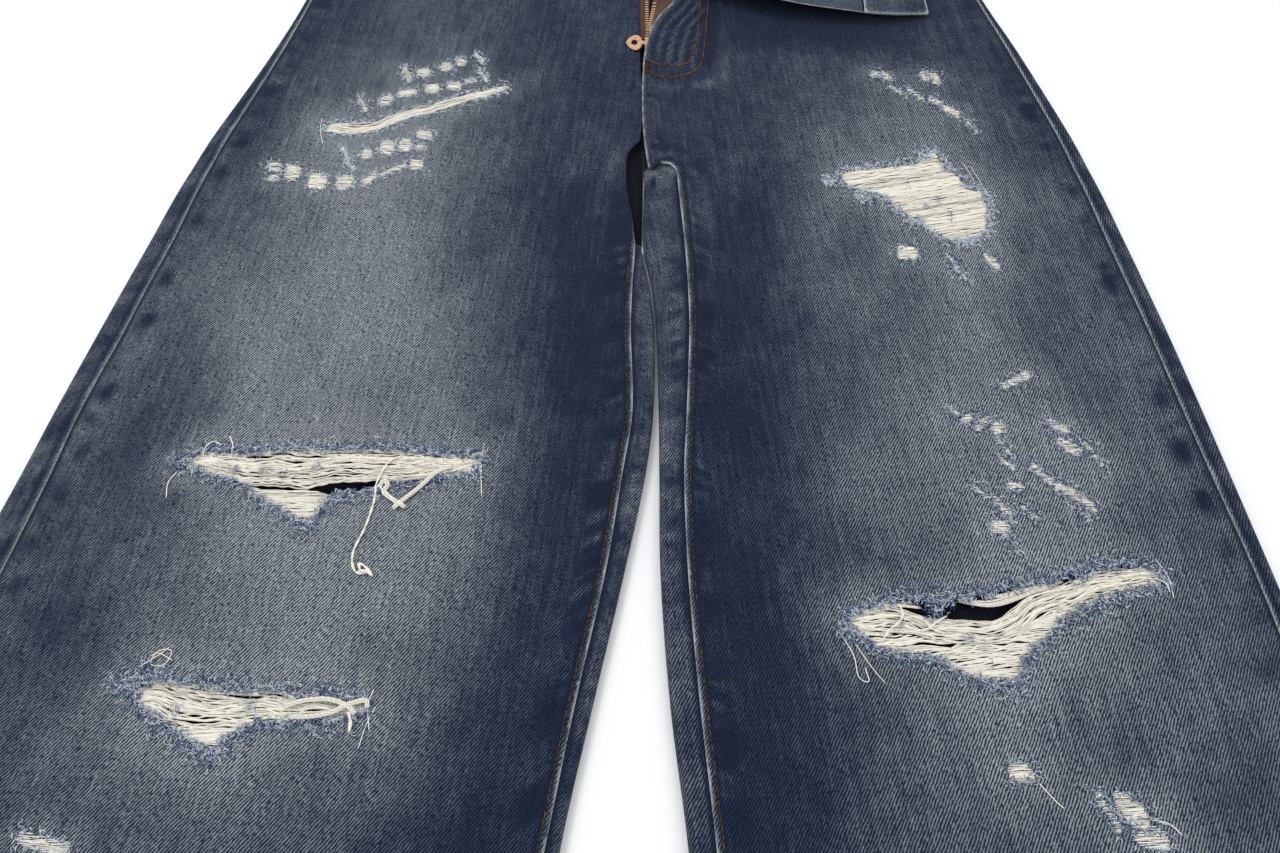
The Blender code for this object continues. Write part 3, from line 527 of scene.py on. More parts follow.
def make_twill_group():
    """Denim twill by its grain map, wear and painted shade: a colour and a height for bump."""
    tree = bpy.data.node_groups.new("denim twill", "ShaderNodeTree")
    face = tree.interface
    for name in ("Fade", "High", "Dark"):
        face.new_socket(name, in_out="INPUT", socket_type="NodeSocketFloat")
    face.new_socket("Grain", in_out="INPUT", socket_type="NodeSocketVector")
    for name in ("Indigo", "Worn", "Weft", "Worn Weft", "Bleached"):
        face.new_socket(name, in_out="INPUT", socket_type="NodeSocketColor")
    face.new_socket("Color", in_out="OUTPUT", socket_type="NodeSocketColor")
    face.new_socket("Height", in_out="OUTPUT", socket_type="NodeSocketFloat")
    n = Nodes(tree)
    given = n.add("NodeGroupInput").outputs
    grain = given["Grain"]
    parts = n.split(grain)
    tilt_s, tilt_c = math.sin(TWILL_ANGLE) / TWILL_PITCH, math.cos(TWILL_ANGLE) / TWILL_PITCH
    across = n.plus(n.times(parts[0], tilt_s), n.times(parts[1], -tilt_c))
    along = n.plus(n.times(parts[0], tilt_c), n.times(parts[1], tilt_s))
    wobble = n.swing(n.noise(grain, 0.16, 2.0), 0.9)
    phase = n.plus(across, wobble)
    ribs = n.plus(n.times(n.math("COSINE", n.times(phase, 2 * math.pi)), 0.5), 0.5)
    cell = n.add("ShaderNodeCombineXYZ", {0: n.times(across, 1.4), 1: n.times(along, 0.62)}).outputs[0]
    floats = n.noise(cell, 1.0, 2.0, 0.6)
    yarns = n.noise(n.stretch(grain, 1.9, 0.055), 1.0, 2.0, 0.6)
    slubs = n.noise(n.stretch(grain, 0.42, 0.014), 1.0, 3.0, 0.6)
    picks = n.noise(n.stretch(grain, 0.03, 1.5), 1.0, 2.0, 0.6)
    mottle = n.noise(n.stretch(grain, 0.16, 0.1), 1.0, 3.0, 0.6)
    clouds = n.noise(n.stretch(grain, 0.03, 0.02), 1.0, 3.0, 0.5)
    fade = n.plus(given["Fade"], n.swing(clouds, 0.5))
    fade = n.plus(fade, n.swing(mottle, 0.5))
    fade = n.plus(fade, n.swing(slubs, 0.55))
    fade = n.plus(fade, n.times(given["High"], 0.55))
    fade = n.plus(fade, n.times(given["Dark"], -0.55))
    fade = n.span(fade, -0.25, 1.1, 0.0, 1.0)
    show = n.plus(n.times(ribs, 0.8), n.swing(floats, 2.1))
    show = n.plus(show, n.swing(yarns, 1.1))
    show = n.plus(show, n.swing(picks, 0.35))
    show = n.plus(show, n.times(fade, 0.12))
    weft_shows = n.span(show, 0.32, 0.72)
    warp = n.mix(fade, given["Indigo"], given["Worn"])
    warp = n.mix(n.span(yarns, 0.35, 0.75, 0.0, 0.35), warp, given["Indigo"])
    weft = n.mix(fade, given["Weft"], given["Worn Weft"])
    colour = n.mix(weft_shows, warp, weft)
    bleach = n.span(n.plus(given["High"], n.swing(floats, 0.5)), 0.62, 1.25, 0.0, 0.92)
    colour = n.mix(bleach, colour, given["Bleached"])
    # The Dark amount pulls the colour towards indigo: darker cloth, and painted shade where the amount holds
    # it
    shade = n.span(given["Dark"], 0.0, 1.2, 0.0, 0.55)
    colour = n.mix(shade, colour, given["Indigo"])
    result = n.add("NodeGroupOutput")
    n.put(result.inputs["Color"], colour)
    n.put(result.inputs["Height"], n.plus(n.times(ribs, 0.5), n.times(floats, 0.7)))
    return tree


twill_group = make_twill_group()


# %% Denim materials
def new_material(name, roughness):
    """A material with its node helper and its shader."""
    material = bpy.data.materials.new(name)
    material.use_nodes = True
    shader = material.node_tree.nodes["Principled BSDF"]
    shader.inputs["Roughness"].default_value = roughness
    return material, Nodes(material.node_tree), shader


def denim(name, indigo, worn, weft, worn_weft, fade=0.0, wear_and_shade=True):
    """Denim by its colours; fade is added all over, and wear_and_shade reads the piece's own wear and painted
    shade.
    """
    material, n, shader = new_material(name, 0.92)
    group = n.add("ShaderNodeGroup", node_tree=twill_group)
    n.put(group.inputs["Grain"], n.add("ShaderNodeUVMap", uv_map="grain").outputs[0])
    if wear_and_shade:
        amounts = n.add("ShaderNodeSeparateColor")
        n.put(amounts.inputs[0], n.add("ShaderNodeAttribute", attribute_name="wear_and_shade").outputs["Color"])
        n.put(group.inputs["Fade"], n.plus(amounts.outputs[0], fade))
        n.put(group.inputs["High"], amounts.outputs[1])
        n.put(group.inputs["Dark"], amounts.outputs[2])
    else:
        group.inputs["Fade"].default_value = fade
    colours = (("Indigo", indigo), ("Worn", worn), ("Weft", weft), ("Worn Weft", worn_weft))
    for socket, colour in (*colours, ("Bleached", (178, 186, 188))):
        group.inputs[socket].default_value = (*linear(*colour), 1)
    n.bump(shader, 0.55, 0.00022, group.outputs["Height"])
    n.put(shader.inputs["Base Color"], group.outputs["Color"])
    shader.inputs["Specular IOR Level"].default_value = 0.18
    shader.inputs["Sheen Weight"].default_value = 0.03
    shader.inputs["Sheen Roughness"].default_value = 0.6
    return material


FACE_COLOURS = ((9, 18, 38), (34, 49, 76), (33, 47, 73), (156, 160, 160))
denim_front = denim("faded denim", *FACE_COLOURS)
denim_back = denim("back denim", *FACE_COLOURS)
denim_band = denim("band denim", *FACE_COLOURS, fade=-0.05)
# Near-black denim as painted shade: the reverse seen through the rips and the crotch opening, and the fly
# shield under the fly
denim_dark = denim("unfaded denim", (6, 8, 16), (14, 18, 32), (12, 16, 30), (30, 36, 52), wear_and_shade=False)
denim_inside = denim(
    "denim reverse", (22, 30, 48), (48, 58, 78), (56, 66, 84), (106, 112, 118), fade=0.42, wear_and_shade=False
)


def fibre_material(name, dull, bright, twist=0.0):
    """Thread or fuzz that runs between two colours by the piece's own tone."""
    material, n, shader = new_material(name, 0.85)
    tone = n.add("ShaderNodeAttribute", attribute_name="tone").outputs["Fac"]
    place = n.add("ShaderNodeTexCoord").outputs["Object"]
    speckle = n.noise(place, 900.0, 2.0)
    factor = n.span(n.plus(tone, n.swing(speckle, 0.6)), 0.0, 1.0)
    n.put(shader.inputs["Base Color"], n.mix(factor, linear(*dull), linear(*bright)))
    if twist:
        strands = n.add("ShaderNodeUVMap", uv_map="grain").outputs[0]
        parts = n.split(strands)
        ply = n.math("SINE", n.plus(n.times(parts[0], 2 * math.pi), n.times(parts[1], twist)))
        n.bump(shader, 0.6, 0.0002, ply)
    shader.inputs["Specular IOR Level"].default_value = 0.2
    return material


weft_material = fibre_material("cream weft", (168, 164, 152), (252, 247, 234), twist=6.0)
fuzz_material = fibre_material("pale blue fuzz", (46, 74, 122), (222, 230, 238))
stitch_material = fibre_material("rust stitching", (66, 46, 30), (118, 82, 50), twist=6.0)
bartack_material = fibre_material("bright rust stitching", (84, 54, 30), (128, 84, 46), twist=6.0)


def metal_material(name, colour, dark, roughness):
    material, n, shader = new_material(name, roughness)
    place = n.add("ShaderNodeTexCoord").outputs["Object"]
    tarnish = n.span(n.noise(place, 420.0, 4.0, 0.65), 0.45, 0.75)
    n.put(shader.inputs["Base Color"], n.mix(tarnish, linear(*colour), linear(*dark)))
    n.put(shader.inputs["Roughness"], n.span(tarnish, 0.0, 1.0, roughness, roughness + 0.25))
    scratches = n.noise(n.stretch(place, 1500.0, 260.0), 1.0, 2.0)
    n.bump(shader, 0.25, 0.00004, scratches)
    shader.inputs["Metallic"].default_value = 0.85
    return material


copper = metal_material("worn copper", (236, 192, 156), (150, 104, 80), 0.32)
button_metal = metal_material("antique copper", (176, 132, 98), (84, 58, 44), 0.38)


def tape_material():
    material, n, shader = new_material("woven zip tape", 0.85)
    place = n.add("ShaderNodeUVMap", uv_map="grain").outputs[0]
    parts = n.split(place)
    zigzag = n.math("PINGPONG", parts[0], 0.5)
    rows = n.math("SINE", n.times(n.plus(parts[1], n.times(zigzag, 0.9)), 2 * math.pi / 0.9))
    weave = n.span(n.plus(rows, n.noise(place, 1.3)), -0.4, 1.4)
    n.put(shader.inputs["Base Color"], n.mix(weave, linear(48, 32, 28), linear(104, 74, 60)))
    n.bump(shader, 0.5, 0.00015, weave)
    return material


zip_tape = tape_material()

floor_material, n, floor_shader = new_material("pale floor", 0.9)
grit = n.noise(n.add("ShaderNodeTexCoord").outputs["Object"], 30.0)
n.put(floor_shader.inputs["Base Color"], n.mix(grit, (0.93, 0.93, 0.93), (0.96, 0.96, 0.96)))
floor.data.materials.append(floor_material)
print("materials:", len(bpy.data.materials))

# %% [markdown]
# ## Making meshes


# %% Mesh helpers
def make_object(name, points, faces, materials, grain, wear_and_shade=None, tone=None):
    """A mesh object at the origin from plan points, with its grain map, wear and painted shade, and tone."""
    mesh = bpy.data.meshes.new(name)
    mesh.from_pydata(to_row(points).tolist(), [], [tuple(map(int, f)) for f in faces])
    obj = bpy.data.objects.new(name, mesh)
    bpy.context.collection.objects.link(obj)
    for material in materials:
        mesh.materials.append(material)
    corner = np.empty(len(mesh.loops), np.int32)
    mesh.loops.foreach_get("vertex_index", corner)
    layer = mesh.uv_layers.new(name="grain")
    layer.data.foreach_set("uv", np.asarray(grain, np.float32)[corner].ravel())
    if wear_and_shade is not None:
        amounts = np.ones((len(points), 4), np.float32)
        amounts[:, :3] = np.stack(wear_and_shade, -1)
        layer = mesh.attributes.new("wear_and_shade", "FLOAT_COLOR", "POINT")
        layer.data.foreach_set("color", amounts.ravel())
    if tone is not None:
        layer = mesh.attributes.new("tone", "FLOAT", "POINT")
        layer.data.foreach_set("value", np.asarray(tone, np.float32))
    mesh.shade_smooth()
    return obj


def thicken(obj, wall=CLOTH_WALL):
    """Gives a cloth its wall, inwards from the outer face; the reverse takes the second material."""
    modifier = obj.modifiers.new("wall", "SOLIDIFY")
    modifier.thickness = wall * MM
    modifier.offset = -1.0
    modifier.material_offset = 1 if len(obj.data.materials) > 1 else 0
    return obj


def declare_cloth(obj, node):
    """The cloth stands for its node, whose part is hidden, and rides on the garment."""
    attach(obj, "garment")
    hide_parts(node)
    return obj


def inside(points, ring):
    """Which points lie inside a closed ring."""
    x, y = points[:, 0], points[:, 1]
    odd = np.zeros(len(points), bool)
    ring = [tuple(p) for p in ring]
    for (ax, ay), (bx, by) in zip(ring, ring[1:] + ring[:1]):
        if ay != by:
            odd ^= ((ay > y) != (by > y)) & (x < ax + (y - ay) / (by - ay) * (bx - ax))
    return odd


def dense(line, size, closed=False):
    """The same line with a point at least every size."""
    line = [tuple(map(float, p)) for p in line]
    ends = line[1:] + line[:1] if closed else line[1:]
    points = []
    for (ax, ay), (bx, by) in zip(line, ends):
        steps = max(1, round(math.dist((ax, ay), (bx, by)) / size))
        points += [(ax + (bx - ax) * k / steps, ay + (by - ay) * k / steps) for k in range(steps)]
    return points if closed else points + [line[-1]]


def sweep(name, lines, radii, tones, material, sides=5, taper=0.35):
    """One mesh of round threads: a point list, a radius and a tone for each thread."""
    points, faces, grain, tone = [], [], [], []
    start = 0
    around = np.arange(sides) * 2 * math.pi / sides
    turn_c, turn_s = np.cos(around)[None, :, None], np.sin(around)[None, :, None]
    for line, radius, shade in zip(lines, radii, tones):
        line = np.asarray(line, float)
        run = np.gradient(line, axis=0)
        run /= np.maximum(np.linalg.norm(run, axis=1), 1e-9)[:, None]
        across = np.cross(run, (0.03, 0.05, 1.0))
        across /= np.maximum(np.linalg.norm(across, axis=1), 1e-9)[:, None]
        upward = np.cross(across, run)
        count = len(line)
        size = np.full(count, float(radius))
        size[0] *= taper
        size[-1] *= taper
        ring = turn_c * across[:, None] + turn_s * upward[:, None]
        points.append((line[:, None] + size[:, None, None] * ring).reshape(-1, 3))
        length = run_length(line)
        turns, runs = np.broadcast_arrays(np.arange(sides)[None] / sides, length[:, None])
        grain.append(np.stack((turns, runs), -1).reshape(-1, 2))
        tone.append(np.full(count * sides, shade))
        k = np.arange(count - 1)[:, None] * sides + start
        j = np.arange(sides)[None]
        next_j = (j + 1) % sides
        quads = np.stack((k + j, k + next_j, k + next_j + sides, k + j + sides), -1).reshape(-1, 4)
        faces += quads.tolist()
        faces.append([start + s for s in reversed(range(sides))])
        faces.append([start + (count - 1) * sides + s for s in range(sides)])
        start += count * sides
    points, grain, tone = (np.concatenate(part) for part in (points, grain, tone))
    obj = make_object(name, points, faces, [material], grain, tone=tone)
    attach(obj, "garment")
    return obj


# %% [markdown]
# ## Rips
# Each rip has an upper and a lower edge, from its left to its right end. Its cream weft threads
# are what is left when the blue warp has gone: a band of them runs from end to end, and a
# pocket below the band has short level ones.

# %% Rip tables
RIPS = {
    "rip_thigh_slit": {
        "side": -1, "raised": 0.5,
        "top": (
            (-184, 46), (-176, 48.5), (-159, 47.5), (-148, 53), (-137, 59.5), (-121, 64), (-106, 72),
            (-90, 77.5), (-80, 81),
        ),
        "low": (
            (-183, 42), (-176, 38.5), (-159, 39), (-148, 45), (-137, 53), (-121, 58), (-106, 66),
            (-90, 72), (-80, 79),
        ),
    },
    "rip_right_upper": {
        "side": -1,
        "top": (
            (-216, -185), (-207, -177), (-182, -178), (-162, -176), (-126, -176), (-101, -178), (-75, -180),
        ),
        "low": (
            (-213, -187), (-197, -192), (-184, -198), (-173, -205), (-162, -212), (-149, -218), (-145, -206),
            (-139, -201.6), (-130, -200), (-118, -198), (-102, -195), (-78, -190), (-74, -184),
        ),
        "band_low": (
            (-213, -187), (-200, -190), (-190, -193.8), (-178, -196.8), (-160, -197.8), (-152, -197.6),
            (-144, -194),
            (-134, -194.3), (-121, -193.8), (-102, -192.2), (-88, -190), (-75, -184.5),
        ),
        "fill_top": (
            (-194, -193.2), (-184, -196.2), (-174, -197.5), (-160, -198.2), (-150, -198.8), (-143, -200.8),
            (-138, -201.5), (-134, -204),
        ),
        "partings": (
            ((-186, -180.5), (-173, -180.8), 1.2), ((-164, -180), (-143, -181), 0.6),
            ((-146, -183.5), (-118, -184.5), 0.6), ((-138, -187), (-108, -187), 0.45),
            ((-194, -189), (-165, -192), 0.4),
        ),
    },
    "rip_right_lower": {
        "side": -1,
        "top": (
            (-209, -292), (-203, -288), (-189, -290), (-169, -293), (-154, -293), (-135, -296), (-116, -297),
            (-112, -300),
        ),
        "low": (
            (-206, -300), (-199, -305), (-188, -311), (-177, -318), (-169, -321), (-167, -314), (-156, -308),
            (-142, -307), (-121, -306), (-113, -304),
        ),
        "band_low": (
            (-206, -299), (-199, -303.5), (-188, -308), (-175, -309.5), (-160, -308), (-142, -306.5),
            (-121, -305), (-112, -303),
        ),
        "partings": (
            ((-187, -292.5), (-178, -294), 0.6), ((-172, -295.5), (-154, -297), 0.8),
            ((-197, -300.5), (-191, -301.5), 0.6), ((-196, -305), (-172, -307.5), 0.6),
            ((-137, -302), (-130, -302), 1.0),
        ),
    },
    "rip_left_thigh": {
        "side": 1, "turn": 12.0, "raised": 0.1,
        "top": (
            (113, 8), (133, 12), (150, 14), (159, 16), (167, 25), (171, 23), (174, 13), (181, 6), (184, -4),
            (192, -6), (193, -20),
        ),
        "low": (
            (116, 0), (124, -5), (138, -10), (142, -21), (153, -27), (160, -37), (169, -43), (178, -43),
            (189, -37),
        ),
    },
    "rip_left_knee": {
        "side": 1, "turn": 4.0,
        "top": (
            (87, -262), (102, -255), (116, -253), (135, -253), (152, -250), (170, -246), (188, -242),
            (201, -238),
            (219, -236), (229, -238),
        ),
        "low": (
            (89, -266), (95, -272), (104, -278), (123, -280), (138, -289), (151, -292), (160, -290),
            (162, -280),
            (173, -272), (184, -262), (194, -257), (209, -251), (228, -247), (230, -243),
        ),
        "band_top": (
            (88, -261), (102, -256), (112, -256.5), (118, -259.5), (134, -263), (150, -263), (158, -260),
            (164, -253.5), (176, -248.5), (190, -243.5), (204, -239.5), (219, -237), (229, -239),
        ),
        "band_low": (
            (89, -265.5), (100, -268), (118, -270), (134, -273), (150, -273.5), (160, -271), (168, -264),
            (178, -259.5), (190, -255), (204, -250.5), (219, -248), (229, -246),
        ),
        "strays": (
            ((101, -257), (112, -255.5), (122, -257)), ((100, -255.5), (110, -254.5), (119, -255.5)),
            ((140, -253.5), (150, -256.5), (160, -254.5), (170, -250), (184, -245)),
            ((138, -252.5), (150, -255), (160, -252), (170, -248.5), (186, -243)),
            ((150, -251.5), (160, -250), (174, -246), (186, -242.5)),
            ((150, -252), (160, -251), (172, -247.5), (186, -244)),
            ((166, -265), (176, -262), (186, -259.5), (197, -255)),
        ),
        "partings": (
            ((95, -269.5), (112, -271), 0.7), ((116, -272), (134, -275), 0.9), ((150, -276), (164, -270),
            0.6),
            ((118, -266.5), (150, -269), 0.4), ((104, -277), (126, -278), 0.4),
        ),
    },
}


def closed_ring(upper, lower):
    return list(upper) + list(reversed(lower))


def rip_ring(rip, seed, size=1.3, rough=0.55):
    """Closed outline of a rip, dense and ragged."""
    rng = random.Random(seed)
    ring = dense(closed_ring(rip["top"], rip["low"]), size, closed=True)
    return [(x + rng.uniform(-rough, rough), y + rng.uniform(-rough, rough)) for x, y in ring]


RINGS = {name: rip_ring(rip, k) for k, (name, rip) in enumerate(RIPS.items())}

# Small worn places, not cut through: two ends of the middle line and the height, by leg
PATCHES = {
    -1: (
        (-143, 96, -142, 87, 9), (-136, 93, -129, 93, 8), (-122, 99, -116, 98, 8), (-113, 104, -108, 103, 7),
        (-100, 110, -99, 104, 6), (-166, 69, -165, 60, 6), (-155, 67, -149, 69, 8), (-145, 73, -135, 75, 6),
        (-129, 78, -122, 78, 8), (-116, 81, -109, 80, 8), (-105, 86, -100, 86, 4), (-97, 95, -95, 87, 6),
        (-171, 27, -168, 19, 6), (-167, 17, -165, 12, 4), (-160, 23, -155, 23, 8), (-150, 28, -143, 28, 11),
        (-139, 30, -133, 29, 10), (-130, 39, -122, 37, 7), (-129, 28, -125, 28, 4), (-131, 15, -125, 15, 7),
        (-212, 13, -206, 12, 7), (-210, 4, -206, 4, 4), (-201, 9, -194, 8, 11), (-187, 2, -178, 1, 12),
        (-171, 1, -163, 1, 11), (-156, 1, -150, 7, 7), (-147, 7, -134, 14, 4), (-238, -352, -218, -356, 5),
    ),
    1: (
        (143, 92, 145, 91, 7), (147, 91, 153, 88, 8), (172, 90, 176, 90, 9), (177, 89, 182, 86, 12),
        (151, 79, 157, 75, 4), (162, 77, 170, 69, 6), (173, 69, 180, 64, 6), (181, 60, 189, 55, 8),
        (192, 50, 197, 41, 5), (139, -52, 149, -53, 10), (166, -54, 168, -62, 5), (168, -63, 172, -70, 4),
        (185, -56, 191, -60, 8), (178, -140, 193, -133, 5), (151, -153, 152, -156, 3),
        (156, -160, 160, -159, 5),
        (161, -165, 168, -160, 5), (169, -165, 175, -164, 7), (172, -172, 175, -181, 4),
        (171, -183, 174, -187, 4),
        (171, -197, 177, -197, 5), (176, -208, 180, -213, 3), (154, -197, 161, -204, 4),
        (163, -204, 169, -213, 7),
        (159, -218, 167, -219, 7), (165, -223, 168, -231, 3), (197, -162, 205, -166, 6),
        (199, -173, 208, -178, 7),
        (212, -174, 216, -184, 6), (184, -187, 194, -198, 7), (193, -197, 208, -208, 7),
        (200, -208, 203, -214, 2),
        (147, -327, 155, -328, 8), (180, -337, 184, -348, 8), (186, -340, 196, -344, 12),
        (190, -350, 202, -353, 9),
    ),
}


def patch_ring(patch):
    """Closed outline of a worn place, blunt at its ends."""
    x0, y0, x1, y1, tall = patch
    half, end = tall / 2, tall * 0.28
    wide = max(0.0, 5.0 - abs(x1 - x0)) / 2
    x0, x1 = min(x0, x1) - wide, max(x0, x1) + wide
    return [
        (x0 - 1.0, y0 - end), (x0 + 0.6, y0 - half), (x1 - 0.6, y1 - half), (x1 + 1.0, y1 - end),
        (x1 + 1.0, y1 + end), (x1 - 0.6, y1 + half), (x0 + 0.6, y0 + half), (x0 - 1.0, y0 + end),
    ]


def near_rips(x, y, side, reach):
    """1 at a rip's or worn place's edge, falling to 0 at reach from it."""
    share = np.zeros(np.shape(x))
    for rip in RIPS.values():
        if rip["side"] == side:
            ring = closed_ring(rip["top"], rip["low"])
            share = np.maximum(share, 1 - smooth(line_distance(x, y, ring + ring[:1]) / reach))
    for patch in PATCHES[side]:
        line = ((patch[0], patch[1]), (patch[2], patch[3]))
        away = np.maximum(line_distance(x, y, line) - patch[4] / 2, 0)
        share = np.maximum(share, 0.8 * (1 - smooth(away / (0.6 * reach))))
    return share


# %% [markdown]
# ## Front panels


# %% Panel mesh
FINE = 3.2
COARSE = 9.0
VIEW_LOW, VIEW_HIGH = -375.0, 345.0


def triangulate(points, edges):
    """A flat net of triangles that keeps the edges: its points, triangles and their middles."""
    flat, _, triangles, _, _, _ = delaunay_2d_cdt([Vector(p) for p in points], edges, [], 0, 1e-4)
    flat, triangles = np.array([tuple(v) for v in flat]), np.array(triangles)
    return flat, triangles, flat[triangles].mean(axis=1)


def panel_mesh(outline, holes, followed, extra):
    """Triangles of a flat panel: its outline, its holes, lines that it follows and added points."""
    points, edges = [], []
    for ring in [outline] + holes:
        start = len(points)
        points += ring
        edges += [(start + k, start + (k + 1) % len(ring)) for k in range(len(ring))]
    for line in followed:
        start = len(points)
        points += line
        edges += [(start + k, start + k + 1) for k in range(len(line) - 1)]
    low, high = np.min(outline, axis=0), np.max(outline, axis=0)
    grid = []
    y, row = low[1] + 2, 0
    while y < high[1]:
        size = FINE if VIEW_LOW < y < VIEW_HIGH else COARSE
        grid += [(x, y) for x in np.arange(low[0] + size * (0.4 + 0.5 * (row % 2)), high[0], size)]
        y += size * 0.87
        row += 1
    grid = np.array(grid + list(extra))
    keep = inside(grid, outline)
    for ring in holes:
        keep &= ~inside(grid, ring)
    for ring in [outline] + holes:
        keep &= line_distance(*grid.T, ring + ring[:1]) > 1.0
    for line in followed:
        keep &= line_distance(*grid.T, line) > 0.9
    flat, triangles, middle = triangulate([*points, *grid[keep]], edges)
    shown = inside(middle, outline)
    for ring in holes:
        shown &= ~inside(middle, ring)
    return flat, triangles[shown]


def beside(line, offsets):
    """Points in rows beside a line of (x, y), at the given offsets in x."""
    return [(x + offset, y) for offset in offsets for x, y in line]


def front_outline(side):
    """Cut outline of a front panel in plan, and the points in rows along its seams."""
    half_gap = side * SEAM_GAP / 2
    inseam_y = np.concatenate((spaced(HEM_Y, VIEW_LOW, 9), spaced(VIEW_LOW, CROTCH_Y, 2.6)[1:]))
    if side < 0:
        inseam_y = inseam_y[inseam_y <= FORK_END[-1]]
    inseam = [(leg_at(side, y, "inseam") + half_gap, y) for y in inseam_y]
    side_y = np.concatenate((spaced(HEM_Y, VIEW_LOW, 9), spaced(VIEW_LOW, POCKET_MOUTH[1], 3.0)[1:]))
    seam = [(leg_at(side, y, "side_seam") - half_gap, y) for y in side_y]
    if side < 0:
        centre = [(read_at(CROTCH_HOLE, y), y) for y in spaced(CROTCH_HOLE[1][0], 34, 3)]
        centre += [(read_at(CENTRE_FRONT, y) - 0.15, y) for y in spaced(50, 82, 3)]
        centre += [(read_at(FLY_EDGE_RIGHT, y), y) for y in spaced(96, WAIST_SEAM_Y - 0.15, 6)]
    else:
        inseam = [p for p in inseam if p[1] < INSEAM_TOP[0][1]]
        centre = [*INSEAM_TOP, (10.5, 14.2), (8, 12.2), (5.9, 11.2)]
        centre += [(read_at(CENTRE_FRONT, y) + 0.15, y) for y in spaced(14, 82, 3)]
        centre += [(read_at(FLY_EDGE_LEFT, y), y) for y in spaced(85, CORNER_Y - BAND_DEPTH, 3)]
        centre += [(x, float(waist_y(x))) for x in spaced(14, POCKET_MOUTH[0] - 4, 6)]
    mouth = pocket_mouth(side)
    hem = [(x, HEM_Y) for x in spaced(seam[0][0], inseam[0][0], 5)[1:-1]]
    outline = inseam + dense(centre, 3.2) + mouth + seam[::-1][1:] + hem
    rows = beside(inseam, [side * v for v in (0.9, 1.9, 3.2, 5.4, 8, 10.6, 12.4, 14)])
    rows += beside([p for p in seam if p[1] > VIEW_LOW], [-side * v for v in (1.2, 2.6, 5, 8, 11)])
    if side > 0:
        rows += beside([p for p in centre if 14 < p[1] < 280], [0.9, 1.9, 3.4, 6])
    return [tuple(map(float, p)) for p in outline], rows


def roll_lines(length, count=13):
    lines = []
    for k in range(count):
        start = ROLL_START + ROLL_OUT * math.pi * ROLL_R * k / (count - 1) - ROLL_ALONG * 20
        lines.append([tuple(start + ROLL_ALONG * t) for t in spaced(0, length, 5)])
    return lines


def grain_map(flat, side):
    """Twill map of a panel: across and along its warp, in millimetres."""
    c, s = math.cos(GRAIN[side]), math.sin(GRAIN[side])
    return np.stack((flat[:, 0] * c - flat[:, 1] * s, flat[:, 0] * s + flat[:, 1] * c), -1)


def front_panel(name, side):
    outline, rows = front_outline(side)
    holes = [RINGS[key] for key, rip in RIPS.items() if rip["side"] == side]
    flat, triangles = panel_mesh(outline, holes, roll_lines(262) if side > 0 else [], rows)
    x, y = flat[:, 0], flat[:, 1]
    height, fade, high, dark = front_wear_and_shade(x, y, side)
    frayed = near_rips(x, y, side, 7.0)
    height = height + 0.35 * frayed
    fade = fade + 0.25 * near_rips(x, y, side, 22.0)
    places = lay_front(x, y, height, side)
    materials, wear_and_shade = [denim_front, denim_inside], (fade, high, dark)
    cloth = make_object(f"{name}_cloth", places, triangles, materials, grain_map(flat, side), wear_and_shade)
    declare_cloth(cloth, name)
    return thicken(cloth)


# %% Front legs
front_panel("front_leg_right", -1)
front_panel("front_leg_left", 1)

# %% [markdown]
# ## Back panels
# A back panel lies underneath and wraps round both folds, so its edges show on top.

# %% Back panel sections
STRIP_COLUMNS, ARC_COLUMNS, FLAT_COLUMNS = 8, 10, 16


def arc(centre_x, radius, start, end, count):
    angles = np.radians(np.linspace(start, end, count))
    return [(centre_x + radius * math.cos(a), FOLD_R + radius * math.sin(a)) for a in angles]


def seat_line(y, side):
    return read_at(CENTRE_BACK, y) + side * SEAM_GAP / 2


def back_section(y, side):
    """Outer face of the back panel at Y, from the inseam round underneath to the side seam."""
    fold = leg_at(side, y, "side_fold")
    seam = leg_at(side, y, "side_seam") + side * SEAM_GAP / 2
    hem = HEM_RAISE if y < HEM_Y + HEM_DEPTH else 0.0
    top = 2 * FOLD_R + hem
    out_mid = fold - side * FOLD_R
    if y <= FORK_END[side]:
        inseam = leg_at(side, y, "inseam") - side * SEAM_GAP / 2
        in_mid = leg_at(side, y, "inner_fold") + side * FOLD_R
        under_start = in_mid
    else:
        inseam = under_start = seat_line(y, side)
        in_mid = under_start + side * FOLD_R
    points = [(x, top) for x in np.linspace(inseam, in_mid, STRIP_COLUMNS)]
    points += arc(in_mid, FOLD_R, 90, 90 + side * 180, ARC_COLUMNS)[1:-1]
    points += [(x, 0.0) for x in np.linspace(under_start, out_mid, FLAT_COLUMNS)]
    points += arc(out_mid, FOLD_R, -90, -90 + side * 180, ARC_COLUMNS)[1:-1]
    points += [(x, top) for x in np.linspace(out_mid, seam, STRIP_COLUMNS)]
    return [(x, z + float(lift(y))) for x, z in points]


def across_lengths(points):
    """How far along its own row each point of a panel is, seen from the end of the leg."""
    steps = np.linalg.norm(np.diff(points[:, :, [0, 2]], axis=1), axis=2)
    return np.concatenate((np.zeros((len(points), 1)), np.cumsum(steps, axis=1)), axis=1)


def yoke_seam(x, side):
    outer = abs(leg_at(side, YOKE_Y["side"], "side_fold"))
    return YOKE_Y["centre"] + (YOKE_Y["side"] - YOKE_Y["centre"]) * np.minimum(np.abs(x) / outer, 1)


